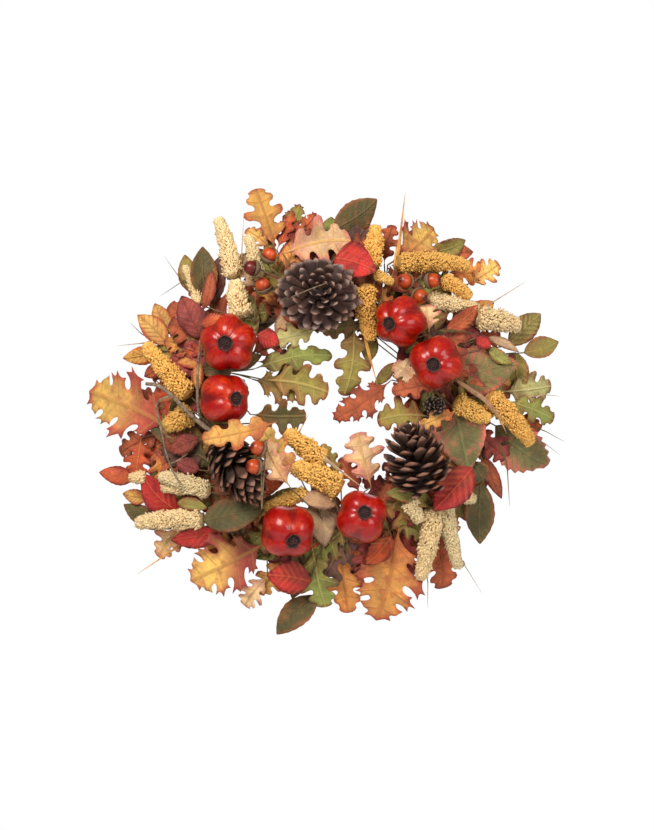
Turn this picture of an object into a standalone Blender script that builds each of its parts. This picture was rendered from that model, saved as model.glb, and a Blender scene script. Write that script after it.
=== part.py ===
"""Harvest door wreath: a vine ring with leaf, seed, acorn, pomegranate and pinecone picks.

The wreath hangs upright. +X is right, +Z is up and -Y is the front. The origin is the middle
of the hanger loop's bar, behind the top of the ring. Layout values are millimetres measured
from the centre of the ring, at WREATH_DIAMETER = LAYOUT_DIAMETER.
"""
import math

import bmesh
import bpy
from mathutils import Matrix, Vector

MM = 0.001

# Driving dimensions, in millimetres
WREATH_DIAMETER = 600.0
RING_RADIUS = 142.0
VINE_RADIUS = 6.2
VINE_COUNT = 4
VINE_TURNS = 5
CORE_GAP = 1.84
TIE_WIRE_RADIUS = 0.9
STEM_WIRE_RADIUS = 1.1
LEAF_THICKNESS = 1.0
LAYER_SPACING = 3.2
DOME_SLOPE = 0.22
POMEGRANATE_SCALE = 1.0
CONE_SCALE = 1.0
ACORN_RADIUS = 9.6
HANGER_WIRE_RADIUS = 1.1
HANGER_LOOP_WIDTH = 22.0
HANGER_LOOP_LENGTH = 40.0
CLEARANCE = 0.3
BLADE_RADIUS = 0.9
SIDE_STEP = 0.07  # depth step between leaves of one pick, so that no two faces coincide

# The sizes at which the layout's places were chosen
LAYOUT_DIAMETER = 600.0
LAYOUT_RING = 142.0
LAYOUT_ACORN = 9.6

# Worked out from them
SCALE = WREATH_DIAMETER / LAYOUT_DIAMETER
CORE_RADIUS = RING_RADIUS * SCALE
# The strands need more room the steeper they are laid
STEEPNESS = VINE_TURNS * VINE_RADIUS / CORE_RADIUS
LAY_RADIUS = (1.6 + 0.42 * STEEPNESS**2) * VINE_RADIUS
HOOP_WIRE_RADIUS = LAY_RADIUS - VINE_RADIUS - CORE_GAP
BUNDLE_RADIUS = LAY_RADIUS + VINE_RADIUS
HANGER_BAR_Y = BUNDLE_RADIUS + CLEARANCE + HANGER_WIRE_RADIUS
CENTRE = Vector((0.0, -HANGER_BAR_Y, -CORE_RADIUS))
FIRST_LAYER = -(BUNDLE_RADIUS + 5.0)
LAST_LAYER = FIRST_LAYER - 5 * LAYER_SPACING
FRUIT_BACK = LAST_LAYER - 2.0
KNOT_RADIUS = 1.8 * STEM_WIRE_RADIUS

WRAP_STEPS = 20
WRAP_FLAT = math.cos(math.pi / WRAP_STEPS)  # a wrap's flats sit this much inside its radius
FRUIT_WIRE_RADIUS = 1.7
FACET_ROOM = VINE_RADIUS / 10  # how far a many-sided strand may stand off its true curve
COLLECTION = "harvest_door_wreath"
FLAT_ANGLE = math.radians(1.5)

for old in list(bpy.data.objects):
    bpy.data.objects.remove(old, do_unlink=True)
parts = bpy.data.collections.new(COLLECTION)
bpy.context.scene.collection.children.link(parts)


def principled(name, colour, roughness, metallic=0.0):
    mat = bpy.data.materials.new(name)
    mat.use_nodes = True
    shader = mat.node_tree.nodes["Principled BSDF"]
    shader.inputs["Base Color"].default_value = (*colour, 1.0)
    shader.inputs["Roughness"].default_value = roughness
    shader.inputs["Metallic"].default_value = metallic
    return mat


MATERIALS = {
    "vine": principled("vine", (0.33, 0.23, 0.14), 0.85),
    "steel": principled("steel", (0.35, 0.36, 0.36), 0.4, 1.0),
    "fruit": principled("fruit", (0.50, 0.02, 0.01), 0.15),
    "crown": principled("crown", (0.07, 0.03, 0.03), 0.7),
    "cone": principled("cone", (0.10, 0.06, 0.045), 0.8),
    "nut": principled("nut", (0.45, 0.12, 0.03), 0.35),
    "cap": principled("cap", (0.20, 0.15, 0.10), 0.8),
    "gold_seed": principled("gold_seed", (0.68, 0.38, 0.11), 0.8),
    "cream_seed": principled("cream_seed", (0.72, 0.58, 0.34), 0.8),
    "oak_leaf": principled("oak_leaf", (0.65, 0.30, 0.12), 0.7),
    "broad_leaf": principled("broad_leaf", (0.24, 0.20, 0.07), 0.6),
}


def world(x, z, y=0.0):
    """World point, in metres, of a layout place and a depth that is negative to the front.

    Places keep their distance from the ring's core circle when RING_RADIUS changes.
    """
    out = Vector((x, 0.0, z))
    if out.length > 0:
        out *= (1.0 + (RING_RADIUS - LAYOUT_RING) / out.length) * SCALE
    return (CENTRE + Vector((0.0, y, 0.0)) + out) * MM


def before_fruit(forward):
    """Depth of something that stands this far, in the layout, before the fruit's back."""
    return FRUIT_BACK - forward * SCALE


def add(name, mesh, material, smooth=True):
    """Links a finished mesh, whose points are in world metres, as one named sub-part."""
    obj = bpy.data.objects.new(name, mesh)
    parts.objects.link(obj)
    mesh.materials.clear()
    mesh.materials.append(MATERIALS[material])
    if smooth:
        mesh.shade_smooth()
        mesh.set_sharp_from_angle(angle=math.radians(40))
    return obj


def mesh_of(obj):
    """The evaluated mesh of a curve or modified object in world space, welded; removes it."""
    bpy.context.view_layer.update()
    graph = bpy.context.evaluated_depsgraph_get()
    mesh = bpy.data.meshes.new_from_object(obj.evaluated_get(graph))
    mesh.transform(obj.matrix_world)
    bpy.data.objects.remove(obj, do_unlink=True)
    bm = bmesh.new()
    bm.from_mesh(mesh)
    bmesh.ops.remove_doubles(bm, verts=bm.verts, dist=1e-6)
    bmesh.ops.triangulate(bm, faces=bm.faces)
    bmesh.ops.recalc_face_normals(bm, faces=bm.faces)
    bm.to_mesh(mesh)
    bm.free()
    return mesh


def tube(points, radius, resolution=1, closed=False):
    """A wire or vine along world points, as a mesh."""
    curve = bpy.data.curves.new("tube", "CURVE")
    curve.dimensions = "3D"
    curve.bevel_depth = radius * MM
    curve.bevel_resolution = resolution
    curve.use_fill_caps = not closed
    curve.resolution_u = 1
    spline = curve.splines.new("POLY")
    spline.points.add(len(points) - 1)
    for point, place in zip(spline.points, points, strict=True):
        point.co = (*place, 1.0)
    spline.use_cyclic_u = closed
    obj = bpy.data.objects.new("tube", curve)
    parts.objects.link(obj)
    return mesh_of(obj)


def dome(point):
    """How far the foliage at a world point falls back outside the ring, in millimetres."""
    out = point / MM - CENTRE
    return DOME_SLOPE * max(0.0, math.hypot(out.x, out.z) - CORE_RADIUS)


def plate(kind, base, tip, width, y):
    """A flat leaf laid between two layout places, at one depth before it follows the dome."""
    start = world(*base, y)
    along = world(*tip, y) - start
    outline = OUTLINES[kind](along.length / MM, width * SCALE)
    along.normalize()
    front = Vector((0.0, -1.0, 0.0))
    across = front.cross(along)
    curve = bpy.data.curves.new("leaf", "CURVE")
    curve.dimensions = "2D"
    curve.fill_mode = "BOTH"
    curve.extrude = LEAF_THICKNESS * MM / 2
    curve.resolution_u = 1
    spline = curve.splines.new("POLY")
    spline.points.add(len(outline) - 1)
    for point, (u, v) in zip(spline.points, outline, strict=True):
        point.co = (u * MM, v * MM, 0.0, 1.0)
    spline.use_cyclic_u = True
    obj = bpy.data.objects.new("leaf", curve)
    parts.objects.link(obj)
    turn = Matrix((along, across, front)).transposed().to_4x4()
    obj.matrix_world = Matrix.Translation(start) @ turn
    mesh = mesh_of(obj)
    for vert in mesh.vertices:
        vert.co.y += dome(vert.co) * MM
    return mesh


def oak_outline(length, width, lobes=3):
    """Half-round lobes and deep bays, narrow at the stalk."""
    side = []
    for i in range(lobes):
        start = 0.14 + 0.74 * i / lobes
        reach = (0.68, 1.0, 0.74)[i] * width / 2
        side.append((start * length, (0.12 + 0.06 * i) * width))
        side.append(((start + 0.17) * length, reach))
    side.append((0.88 * length, 0.16 * width))
    left = [(u, -v) for u, v in side]
    return [(0.0, -0.04 * width), *left, (length, 0.0), *reversed(side), (0.0, 0.04 * width)]


def broad_outline(length, width, steps=4):
    """A pointed oval, widest below its middle."""
    side = []
    for i in range(1, steps):
        u = i / steps
        side.append((u * length, width / 2 * math.sin(math.pi * u**0.8) ** 0.85))
    left = [(u, -v) for u, v in side]
    return [(0.0, -0.03 * width), *left, (length, 0.0), *reversed(side), (0.0, 0.03 * width)]


OUTLINES = {"oak": oak_outline, "broad": broad_outline}


def ball(place, size, direction=(0.0, -1.0, 0.0), segments=12, rings=8, shape=None):
    """A rounded solid: half sizes (across, up, along its direction), reshaped by a function."""
    bm = bmesh.new()
    bmesh.ops.create_uvsphere(bm, u_segments=segments, v_segments=rings, radius=1.0)
    for vert in bm.verts:
        factor = shape(vert.co) if shape else 1.0
        vert.co = Vector((a * b * factor * MM for a, b in zip(vert.co, size, strict=True)))
    turn = Vector(direction).to_track_quat("Z", "Y").to_matrix().to_4x4()
    bmesh.ops.transform(bm, matrix=Matrix.Translation(place) @ turn, verts=bm.verts)
    mesh = bpy.data.meshes.new("ball")
    bm.to_mesh(mesh)
    bm.free()
    return mesh


def cone_solid(place, direction, profile, segments=12):
    """A turned solid: profile of (distance along, radius) pairs in millimetres."""
    bm = bmesh.new()
    rings = []
    for along, radius in profile:
        ring = []
        for i in range(segments):
            angle = 2 * math.pi * i / segments
            at = (radius * math.cos(angle) * MM, radius * math.sin(angle) * MM, along * MM)
            ring.append(bm.verts.new(at))
        rings.append(ring)
    for low, high in zip(rings, rings[1:], strict=False):
        for i in range(segments):
            j = (i + 1) % segments
            bm.faces.new((low[i], low[j], high[j], high[i]))
    bm.faces.new(reversed(rings[0]))
    bm.faces.new(rings[-1])
    turn = Vector(direction).to_track_quat("Z", "Y").to_matrix().to_4x4()
    bmesh.ops.transform(bm, matrix=Matrix.Translation(place) @ turn, verts=bm.verts)
    mesh = bpy.data.meshes.new("turned")
    bm.to_mesh(mesh)
    bm.free()
    return mesh


def union(meshes):
    """One closed mesh from overlapping ones."""
    base = bpy.data.objects.new("union", meshes[0])
    parts.objects.link(base)
    for mesh in meshes[1:]:
        tool = bpy.data.objects.new("tool", mesh)
        parts.objects.link(tool)
        joiner = base.modifiers.new("join", "BOOLEAN")
        joiner.operation = "UNION"
        joiner.solver = "MANIFOLD"
        joiner.object = tool
        bpy.context.view_layer.update()
        graph = bpy.context.evaluated_depsgraph_get()
        joined = bpy.data.meshes.new_from_object(base.evaluated_get(graph))
        base.modifiers.clear()
        base.data = joined
        bpy.data.objects.remove(tool, do_unlink=True)
    mesh = mesh_of(base)
    bm = bmesh.new()
    bm.from_mesh(mesh)
    bmesh.ops.dissolve_limit(bm, angle_limit=FLAT_ANGLE, verts=bm.verts, edges=bm.edges)
    bmesh.ops.triangulate(bm, faces=bm.faces)
    bm.to_mesh(mesh)
    bm.free()
    return mesh


# ---- the ring -------------------------------------------------------------------------


def ring_place(angle, radial=0.0, y=0.0):
    """World point at an angle round the ring, off its core by radial and y millimetres."""
    radius = CORE_RADIUS + radial
    return (CENTRE + Vector((radius * math.cos(angle), y, radius * math.sin(angle)))) * MM


def closed_coil(radius, turns, phase, steps):
    """Points of a strand laid round the core of the ring."""
    points = []
    for i in range(steps):
        angle = 2 * math.pi * i / steps
        lay = turns * angle + phase
        points.append(ring_place(angle, radius * math.cos(lay), radius * math.sin(lay)))
    return points


def make_ring():
    add("frame_hoop", tube(closed_coil(0.0, 0, 0.0, 40), HOOP_WIRE_RADIUS, 0, closed=True), "steel")
    for k in range(VINE_COUNT):
        phase = 2 * math.pi * k / VINE_COUNT
        points = closed_coil(LAY_RADIUS, VINE_TURNS, phase, 36)
        add(f"vine_strand_{k + 1}", tube(points, VINE_RADIUS, closed=True), "vine")


def wrap(angle, radius, shift_y, wire):
    """A closed wire round the bundle, in the plane across the ring at this angle."""
    points = []
    for i in range(WRAP_STEPS):
        turn = 2 * math.pi * i / WRAP_STEPS
        y = shift_y + radius * math.sin(turn)
        points.append(ring_place(angle, radius * math.cos(turn), y))
    return tube(points, wire, closed=True)


def make_ties(angles=(0.0, 187.0)):
    radius = (BUNDLE_RADIUS + CLEARANCE + TIE_WIRE_RADIUS) / WRAP_FLAT + 0.1
    for k, angle in enumerate(angles):
        mesh = wrap(math.radians(angle), radius, 0.0, TIE_WIRE_RADIUS)
        add(f"binding_wire_{k + 1}", mesh, "steel")


def make_hanger():
    """An eye of wire round the bundle at the top, and a loop that swings in its back."""
    wire = HANGER_WIRE_RADIUS
    front = BUNDLE_RADIUS + CLEARANCE + wire
    back = HANGER_BAR_Y + 2 * wire + CLEARANCE
    radius = (front + back) / 2 / WRAP_FLAT + 0.2
    eye = wrap(math.radians(90), radius, (back - front) / 2, wire)
    add("hanger_eye", eye, "steel")
    half = HANGER_LOOP_WIDTH / 2
    corner = half * 0.45
    drop = HANGER_LOOP_LENGTH
    points = [Vector((x, 0.0, 0.0)) for x in (half - corner, 0.0, corner - half)]
    points.append(Vector((-half, 0.0, -corner)))
    for i in range(9):
        turn = math.pi * (1 + i / 8)
        points.append(Vector((half * math.cos(turn), 0.0, half - drop + half * math.sin(turn))))
    points.append(Vector((half, 0.0, -corner)))
    loop = tube([p * MM for p in points], wire, closed=True)
    add("hanger_loop", loop, "steel")


# ---- picks ----------------------------------------------------------------------------


def root_angle(x, z):
    return math.atan2(z, x)


def vine_front(angle, reach):
    """Depth of the frontmost vine under a wire of this radius on the ring's core circle."""
    best = 0.0
    for k in range(VINE_COUNT):
        lay = VINE_TURNS * angle + 2 * math.pi * k / VINE_COUNT
        side = LAY_RADIUS * math.cos(lay)
        room = VINE_RADIUS**2 - max(0.0, abs(side) - reach) ** 2
        if room > 0 and math.sin(lay) < 0:
            best = min(best, LAY_RADIUS * math.sin(lay) - math.sqrt(room))
    return best - CLEARANCE - FACET_ROOM - 0.4 * VINE_RADIUS * (best > -0.8 * BUNDLE_RADIUS)


def stem(points, radius=STEM_WIRE_RADIUS):
    return tube(points, radius, resolution=0)


def peg(x, z, front):
    """A wire from the ring's surface straight forward to a depth, at a layout direction."""
    angle = root_angle(x, z)
    back = vine_front(angle, STEM_WIRE_RADIUS)
    return stem([ring_place(angle, 0.0, back), ring_place(angle, 0.0, front - 1.0)])


def knot(place):
    """The bead of wire and tape where a pick's stems meet."""
    return ball(place, [KNOT_RADIUS] * 3, (0.3, -1.0, 0.2), 8, 5)


def root_of(x, z, y):
    return ring_place(root_angle(x, z), 0.0, y)


def domed(x, z, y):
    """World point of a layout place at a depth, moved back to follow the dome."""
    point = world(x, z, y)
    return point + Vector((0.0, dome(point) * MM, 0.0))


def leaf_pick(name, material, layer, root, leaves, carries=None, blades=()):
    """Leaves on one branching wire. root is the direction of its peg; each leaf is
    (kind, base x, base z, tip x, tip z, width). carries is a post for a pick in front."""
    y = FIRST_LAYER - layer * LAYER_SPACING
    start = root_of(*root, y)
    pieces = [knot(start), peg(*root, y)]
    for k, (kind, bx, bz, tx, tz, width) in enumerate(leaves):
        own = y + SIDE_STEP * k
        pieces.append(plate(kind, (bx, bz), (tx, tz), width, own))
        mid = (bx + 0.15 * (tx - bx), bz + 0.15 * (tz - bz))
        foot = root_of(*root, own)
        pieces.append(stem([foot, domed(*mid, own)]))
    for k, tip in enumerate(blades):
        own = y - SIDE_STEP * (k + 1)
        pieces.append(stem([root_of(*root, own), domed(*tip, own)], BLADE_RADIUS))
    if carries:
        (x, z), front = carries
        pieces.append(stem([start, domed(x, z, y)]))
        end = front + KNOT_RADIUS + CLEARANCE
        pieces.append(stem([domed(x, z, y + 1.0), domed(x, z, end)]))
    add(name, union(pieces), material)


def seed_pick(name, material, forward, root, heads, elbow=None):
    """Seed heads on one wire; each is (base x, base z, tip x, tip z, width)."""
    y = before_fruit(forward)
    start = domed(*elbow, y) if elbow else root_of(*root, y)
    pieces = [knot(start)] if elbow else [knot(start), peg(*root, y)]
    for bx, bz, tx, tz, width in heads:
        low, high = domed(bx, bz, y), domed(tx, tz, y)
        along = high - low
        size = (width / 2 * SCALE, width / 2 * SCALE, along.length / MM / 2)
        pieces.append(stem([start, low + 0.3 * along]))
        middle = low + 0.5 * along
        pieces.append(ball(middle, size, along, 8, 6, lambda c: 1.0 + 0.25 * (1 - c.z**2)))
    add(name, union(pieces), material)


# ---- fruit ----------------------------------------------------------------------------

DIMPLE = 0.14


def pomegranate_shape(co):
    """Five soft lobes, with a dimple at the crown."""
    turn = math.atan2(co.y, co.x)
    polar = math.acos(max(-1.0, min(1.0, co.z)))
    rim = math.sin(polar)
    lobes = 1.0 - 0.07 * rim * (1.0 - abs(math.cos(2.5 * turn)))
    return lobes * (1.0 - DIMPLE * math.exp(-((polar / 0.42) ** 2)))


# name, layout x and z, radius, half height along the crown, crown direction, extra forward
POMEGRANATES = [
    ("pomegranate_1", -116, 84, 36.0, 32.0, (-0.12, -1.0, -0.05), 0.0),
    ("pomegranate_2", -122, 14, 32.5, 32.5, (0.60, -1.0, 0.0), 2.0),
    ("pomegranate_3", 98, 110, 32.5, 32.5, (-0.55, -1.0, -0.12), 0.0),
    ("pomegranate_4", 143, 60, 33.5, 31.0, (-0.22, -1.0, -0.15), 16.0),
    ("pomegranate_5", -43, -151, 35.0, 32.0, (0.28, -1.0, -0.42), 0.0),
    ("pomegranate_6", 50, -133, 33.0, 31.0, (0.10, -1.0, 0.22), 0.0),
]


# Fruit that sit side by side move apart from these places as they grow
FRUIT_PAIRS = {"pomegranate_1": (-119, 49), "pomegranate_2": (-119, 49),
               "pomegranate_3": (110, 130), "pomegranate_4": (110, 130)}


def fruit_place(name, x, z):
    middle_x, middle_z = FRUIT_PAIRS.get(name, (x, z))
    grow = POMEGRANATE_SCALE
    return middle_x + (x - middle_x) * grow, middle_z + (z - middle_z) * grow


def make_pomegranates():
    for name, own_x, own_z, radius, height, facing, forward in POMEGRANATES:
        x, z = fruit_place(name, own_x, own_z)
        size = [v * POMEGRANATE_SCALE * SCALE for v in (radius, radius, height)]
        direction = Vector(facing).normalized()
        y = before_fruit(forward) - max(size)
        place = world(x, z, y)
        body = ball(place, size, direction, 20, 8, pomegranate_shape)
        angle = root_angle(x, z)
        foot = vine_front(angle, FRUIT_WIRE_RADIUS)
        route = [ring_place(angle, 0.0, foot), ring_place(angle, 0.0, foot - 3.0), place]
        wire = stem(route, FRUIT_WIRE_RADIUS)
        add(name, union([body, wire]), "fruit")
        half = size[2]
        rim = 0.23 * size[0]
        floor = half * (1.0 - 0.58 * DIMPLE) + CLEARANCE
        profile = [(floor, rim), (floor + 2.0, rim * 0.9), (floor + 6.5, rim * 1.15)]
        profile += [(floor + 6.5, rim * 0.75), (floor + 3.0, rim * 0.5)]
        add(name.replace("te_", "te_crown_"), cone_solid(place, direction, profile, 8), "crown")


def cone_shape(co):
    """Rows of blunt scales, fuller at the stalk end."""
    turn = math.atan2(co.y, co.x)
    polar = math.acos(max(-1.0, min(1.0, co.z)))
    return 0.93 + 0.07 * math.cos(8 * turn + 6 * polar)


# name, layout x and z, half sizes, direction of the tip, extra forward
CONES = [
    ("pinecone_top", -6, 145, (50, 44, 34), (0.05, -1.0, 0.05), 0.0),
    ("pinecone_left", -107, -72, (42, 32, 47), (-0.55, -0.35, 0.75), -6.0),
    ("pinecone_right", 118, -64, (42, 34, 44), (-0.25, -0.35, 0.9), -4.0),
]


def make_cones():
    for name, x, z, half, facing, forward in CONES:
        size = [v * CONE_SCALE * SCALE for v in half]
        direction = Vector(facing).normalized()
        y = before_fruit(forward) - size[1 if abs(direction.y) < 0.8 else 2] - 2.0
        place = world(x, z, y)
        body = ball(place, size, direction, 16, 8, cone_shape)
        angle = root_angle(x, z)
        foot = vine_front(angle, FRUIT_WIRE_RADIUS)
        route = [ring_place(angle, 0.0, foot), ring_place(angle, 0.0, foot - 3.0), place]
        wire = stem(route, FRUIT_WIRE_RADIUS)
        add(name, union([body, wire]), "cone")


# ---- acorns ---------------------------------------------------------------------------


def acorn(place, direction):
    """Cap and nut that meet at a flat face; returns both meshes. place is that face."""
    r = ACORN_RADIUS * SCALE
    cap = [(-0.85 * r, 0.35 * r), (-0.6 * r, 0.8 * r), (-0.25 * r, 1.04 * r), (-CLEARANCE, 1.1 * r)]
    nut = [(0.0, 0.97 * r), (0.6 * r, r), (1.0 * r, 0.85 * r), (1.3 * r, 0.5 * r), (1.5 * r, 0.12 * r)]
    return cone_solid(place, direction, cap, 8), cone_solid(place, direction, nut, 8)


# Every cluster comes forward as its acorns grow, and the left one hangs before its pinecone
GROWTH = 1.5 * (ACORN_RADIUS - LAYOUT_ACORN)
TOP_LEFT_ELBOW = (-46, 165)
TOP_LEFT_FORWARD = 24.8 + GROWTH
LEFT_ROOT = (-60, -98)
LEFT_FORWARD = 64.0 * CONE_SCALE + 4.8 + GROWTH


def beside_fruit(x, z):
    """A place in the top right cluster, which keeps clear of the fruit under it."""
    fruit_x, fruit_z = fruit_place("pomegranate_3", 98, 110)
    nearest = Vector((24.0, 34.0))
    shift = nearest * (POMEGRANATE_SCALE - 1.0) + nearest.normalized() * GROWTH
    return x + fruit_x - 98 + shift.x, z + fruit_z - 110 + shift.y


TOP_RIGHT_ELBOW = beside_fruit(126, 170)
TOP_RIGHT_FORWARD = 26.8 + GROWTH

# cluster name, root or None, elbow, forward, then (x, z, direction) of each cap's face
ACORN_CLUSTERS = [
    ("top_left", None, TOP_LEFT_ELBOW, TOP_LEFT_FORWARD,
     [(-68, 193, (0.45, -0.35, 0.8)), (-86, 179, (-0.8, -0.3, 0.1)), (-73, 154, (-0.35, -0.4, 0.9))]),
    ("top_right", None, TOP_RIGHT_ELBOW, TOP_RIGHT_FORWARD,
     [(*beside_fruit(106, 162), (-0.6, -0.8, 0.1)), (*beside_fruit(137, 163), (0.9, -0.4, 0.1)),
      (*beside_fruit(122, 144), (0.5, -0.7, -0.3))]),
    ("left", LEFT_ROOT, None, LEFT_FORWARD,
     [(-76, -48, (-0.8, -0.5, 0.3)), (-81, -70, (-0.8, -0.5, 0.1))]),
]


def make_acorns():
    number = 0
    for name, root, elbow, forward, acorns in ACORN_CLUSTERS:
        y = before_fruit(forward)
        start = root_of(*root, y) if root else domed(*elbow, y)
        pieces = [knot(start), peg(*root, y)] if root else [knot(start)]
        last_x, last_z, _ = acorns[-1]
        for own_x, own_z, facing in acorns:
            x = last_x + (own_x - last_x) * ACORN_RADIUS / LAYOUT_ACORN
            z = last_z + (own_z - last_z) * ACORN_RADIUS / LAYOUT_ACORN
            direction = Vector(facing).normalized()
            place = domed(x, z, y)
            cap, nut = acorn(place, direction)
            inside = place - direction * 0.4 * ACORN_RADIUS * SCALE * MM
            pieces.append(cap)
            pieces.append(stem([start, inside]))
            number += 1
            add(f"acorn_nut_{number}", nut, "nut")
        add(f"acorn_caps_{name}", union(pieces), "cap")


# ---- the foliage, clockwise from the top left ----------------------------------------


GOLDEN_ELBOW = (164, 14)
GOLDEN_FORWARD = 12.8
CREAM_ELBOW = (133, -118)
CREAM_FORWARD = 10.8


def make_foliage():
    leaf_pick("oak_pick_top_left", "oak_leaf", 1, (-42, 165), [
        ("oak", -62, 208, -84, 283, 45), ("oak", -56, 206, -41, 259, 26),
        ("oak", -50, 212, -6, 254, 32), ("oak", -66, 208, -96, 231, 24),
    ], carries=(TOP_LEFT_ELBOW, before_fruit(TOP_LEFT_FORWARD)))
    leaf_pick("oak_pick_top", "oak_leaf", 4, (-16, 180), [
        ("oak", -46, 201, 34, 217, 63),
        ("broad", 15, 230, 72, 270, 42), ("broad", 17, 190, 68, 177, 43),
        ("broad", 8, 218, 12, 247, 20),
    ])
    leaf_pick("oak_pick_top_right", "oak_leaf", 0, (112, 165), [
        ("oak", 92, 190, 142, 236, 58), ("broad", 137, 203, 184, 218, 28),
        ("oak", 160, 178, 209, 180, 38), ("oak", 188, 163, 228, 189, 36),
    ], carries=(TOP_RIGHT_ELBOW, before_fruit(TOP_RIGHT_FORWARD)), blades=[(108, 284)])
    leaf_pick("magnolia_pick_right", "broad_leaf", 2, (190, 95), [
        ("broad", 159, 102, 199, 131, 24), ("broad", 240, 83, 284, 124, 34),
        ("broad", 260, 74, 305, 87, 30), ("broad", 248, 74, 254, 22, 32),
        ("broad", 213, 82, 243, 58, 16),
    ], blades=[(262, 167)])
    leaf_pick("maple_pick_right", "broad_leaf", 4, (165, 30), [
        ("broad", 178, 42, 248, 58, 52), ("broad", 226, -22, 290, -70, 56),
        ("broad", 171, -4, 184, -74, 50),
    ], carries=(GOLDEN_ELBOW, before_fruit(GOLDEN_FORWARD)))
    leaf_pick("oak_pick_right", "oak_leaf", 1, (160, 12), [
        ("oak", 232, 24, 297, 30, 46), ("oak", 238, 12, 298, -10, 40),
    ], blades=[(316, -41)])
    leaf_pick("magnolia_pick_lower_right", "broad_leaf", 1, (150, -92), [
        ("broad", 188, -74, 140, -124, 45), ("broad", 204, -90, 203, -172, 40),
        ("broad", 206, -60, 232, -114, 20), ("broad", 168, -112, 186, -140, 20),
    ])
    leaf_pick("oak_pick_bottom", "oak_leaf", 3, (88, -150), [
        ("oak", 92, -150, 70, -270, 84), ("oak", 148, -162, 164, -224, 44),
    ], carries=(CREAM_ELBOW, before_fruit(CREAM_FORWARD)), blades=[(136, -255)])
    leaf_pick("oak_pick_inner_bottom", "oak_leaf", 5, (4, -142), [
        ("oak", 56, -92, 44, -32, 48), ("oak", 20, -84, 0, -44, 24),
        ("oak", -43, -93, -70, -42, 33), ("broad", -5, -238, -60, -288, 36),
        ("oak", -13, -172, 4, -250, 40),
        ("broad", 4, -100, 4, -173, 38), ("broad", -14, -218, -70, -209, 43),
    ])
    leaf_pick("oak_pick_bottom_left", "oak_leaf", 3, (-82, -142), [
        ("oak", -75, -176, -166, -218, 78), ("oak", -72, -210, -100, -252, 38),
        ("broad", -110, -148, -192, -165, 28),
    ])
    leaf_pick("magnolia_pick_lower_left", "broad_leaf", 0, (-138, -98), [
        ("broad", -208, -142, -255, -121, 25), ("broad", -182, -128, -231, -82, 36),
        ("broad", -240, -88, -288, -80, 24), ("broad", -150, -140, -74, -124, 40),
    ], blades=[(-238, -212)])
    leaf_pick("oak_pick_left", "oak_leaf", 2, (-160, -22), [
        ("oak", -216, -22, -304, 26, 92), ("broad", -231, -45, -231, -81, 23),
        ("broad", -210, -52, -199, -86, 25),
    ])
    leaf_pick("magnolia_pick_upper_left", "broad_leaf", 0, (-150, 85), [
        ("broad", -198, 84, -237, 121, 30), ("broad", -206, 76, -256, 66, 24),
        ("broad", -196, 98, -216, 137, 24), ("broad", -155, 91, -181, 145, 35),
        ("broad", -146, 140, -153, 209, 34), ("broad", -138, 136, -132, 198, 28),
    ], blades=[(-264, 83), (-204, 199), (-100, 256)])
    leaf_pick("oak_pick_inner_left", "oak_leaf", 5, (-140, 52), [
        ("oak", -69, 38, 6, 20, 48), ("oak", -83, 49, 6, 77, 26),
        ("oak", -26, -3, -92, -6, 28), ("broad", -22, 98, -57, 90, 24),
    ])
    leaf_pick("oak_pick_inner_right", "oak_leaf", 5, (152, 34), [
        ("oak", 80, 36, 18, -10, 22), ("oak", 40, 104, 32, 22, 35),
        ("oak", 128, 22, 94, 56, 38), ("oak", 132, -10, 75, -13, 38),
    ])

    seed_pick("golden_pick_left", "gold_seed", 6.8, (-160, -2),
              [(-170, 19, -226, 84, 20), (-168, -2, -200, -20, 20)])
    seed_pick("golden_pick_top", "gold_seed", 6.8, (62, 150),
              [(62, 183, 68, 236, 18), (56, 152, 58, 106, 16)])
    seed_pick("golden_pick_top_right", "gold_seed", 4.8, (88, 160),
              [(96, 187, 187, 187, 19), (166, 166, 190, 144, 15)])
    seed_pick("golden_pick_right", "gold_seed", GOLDEN_FORWARD, None,
              [(172, 8, 212, -12, 19), (211, 16, 266, -42, 19)], elbow=GOLDEN_ELBOW)
    seed_pick("golden_pick_bottom", "gold_seed", 8.8, (24, -140),
              [(22, -98, -38, -70, 19), (4, -64, -42, -28, 16)])
    seed_pick("cream_pick_top_left", "cream_seed", 6.8, (-95, 125),
              [(-114, 169, -133, 245, 16), (-84, 170, -96, 222, 13), (-102, 124, -110, 163, 19)])
    seed_pick("cream_pick_right", "cream_seed", 6.8, (138, 110),
              [(140, 139, 198, 130, 15), (198, 117, 252, 107, 21)])
    seed_pick("cream_pick_bottom_right", "cream_seed", CREAM_FORWARD, None,
              [(140, -126, 125, -215, 18), (155, -122, 174, -201, 14)], elbow=CREAM_ELBOW)
    seed_pick("cream_pick_lower_left", "cream_seed", 6.8, (-110, -146),
              [(-150, -140, -236, -144, 18), (-156, -104, -208, -86, 22)])
    bare_twigs()


def bare_twigs():
    """A thick bare vine that leaves the ring at the left, with a thin twig on it."""
    y = before_fruit(22.8)
    root = (-130, -25)
    vine = [root_of(*root, y), world(-166, -8, y), world(-190, 17, y), world(-222, 33, y + 8)]
    twig = [(-186, 12), (-203, -20), (-198, -50), (-187, -80), (-176, -93)]
    thin = [world(-190, 17, y), *(world(x, z, y + 5) for x, z in twig)]
    pieces = [peg(*root, y), stem(vine, 2.6), stem(thin)]
    add("bare_vine_left", union(pieces), "vine")


make_ring()
make_ties()
make_hanger()
make_pomegranates()
make_cones()
make_acorns()
make_foliage()
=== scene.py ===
import random
from math import atan2, cos, hypot, pi, radians, sin, sqrt

import bmesh
import bpy
import numpy as np
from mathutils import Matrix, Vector
from mathutils.geometry import delaunay_2d_cdt


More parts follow.
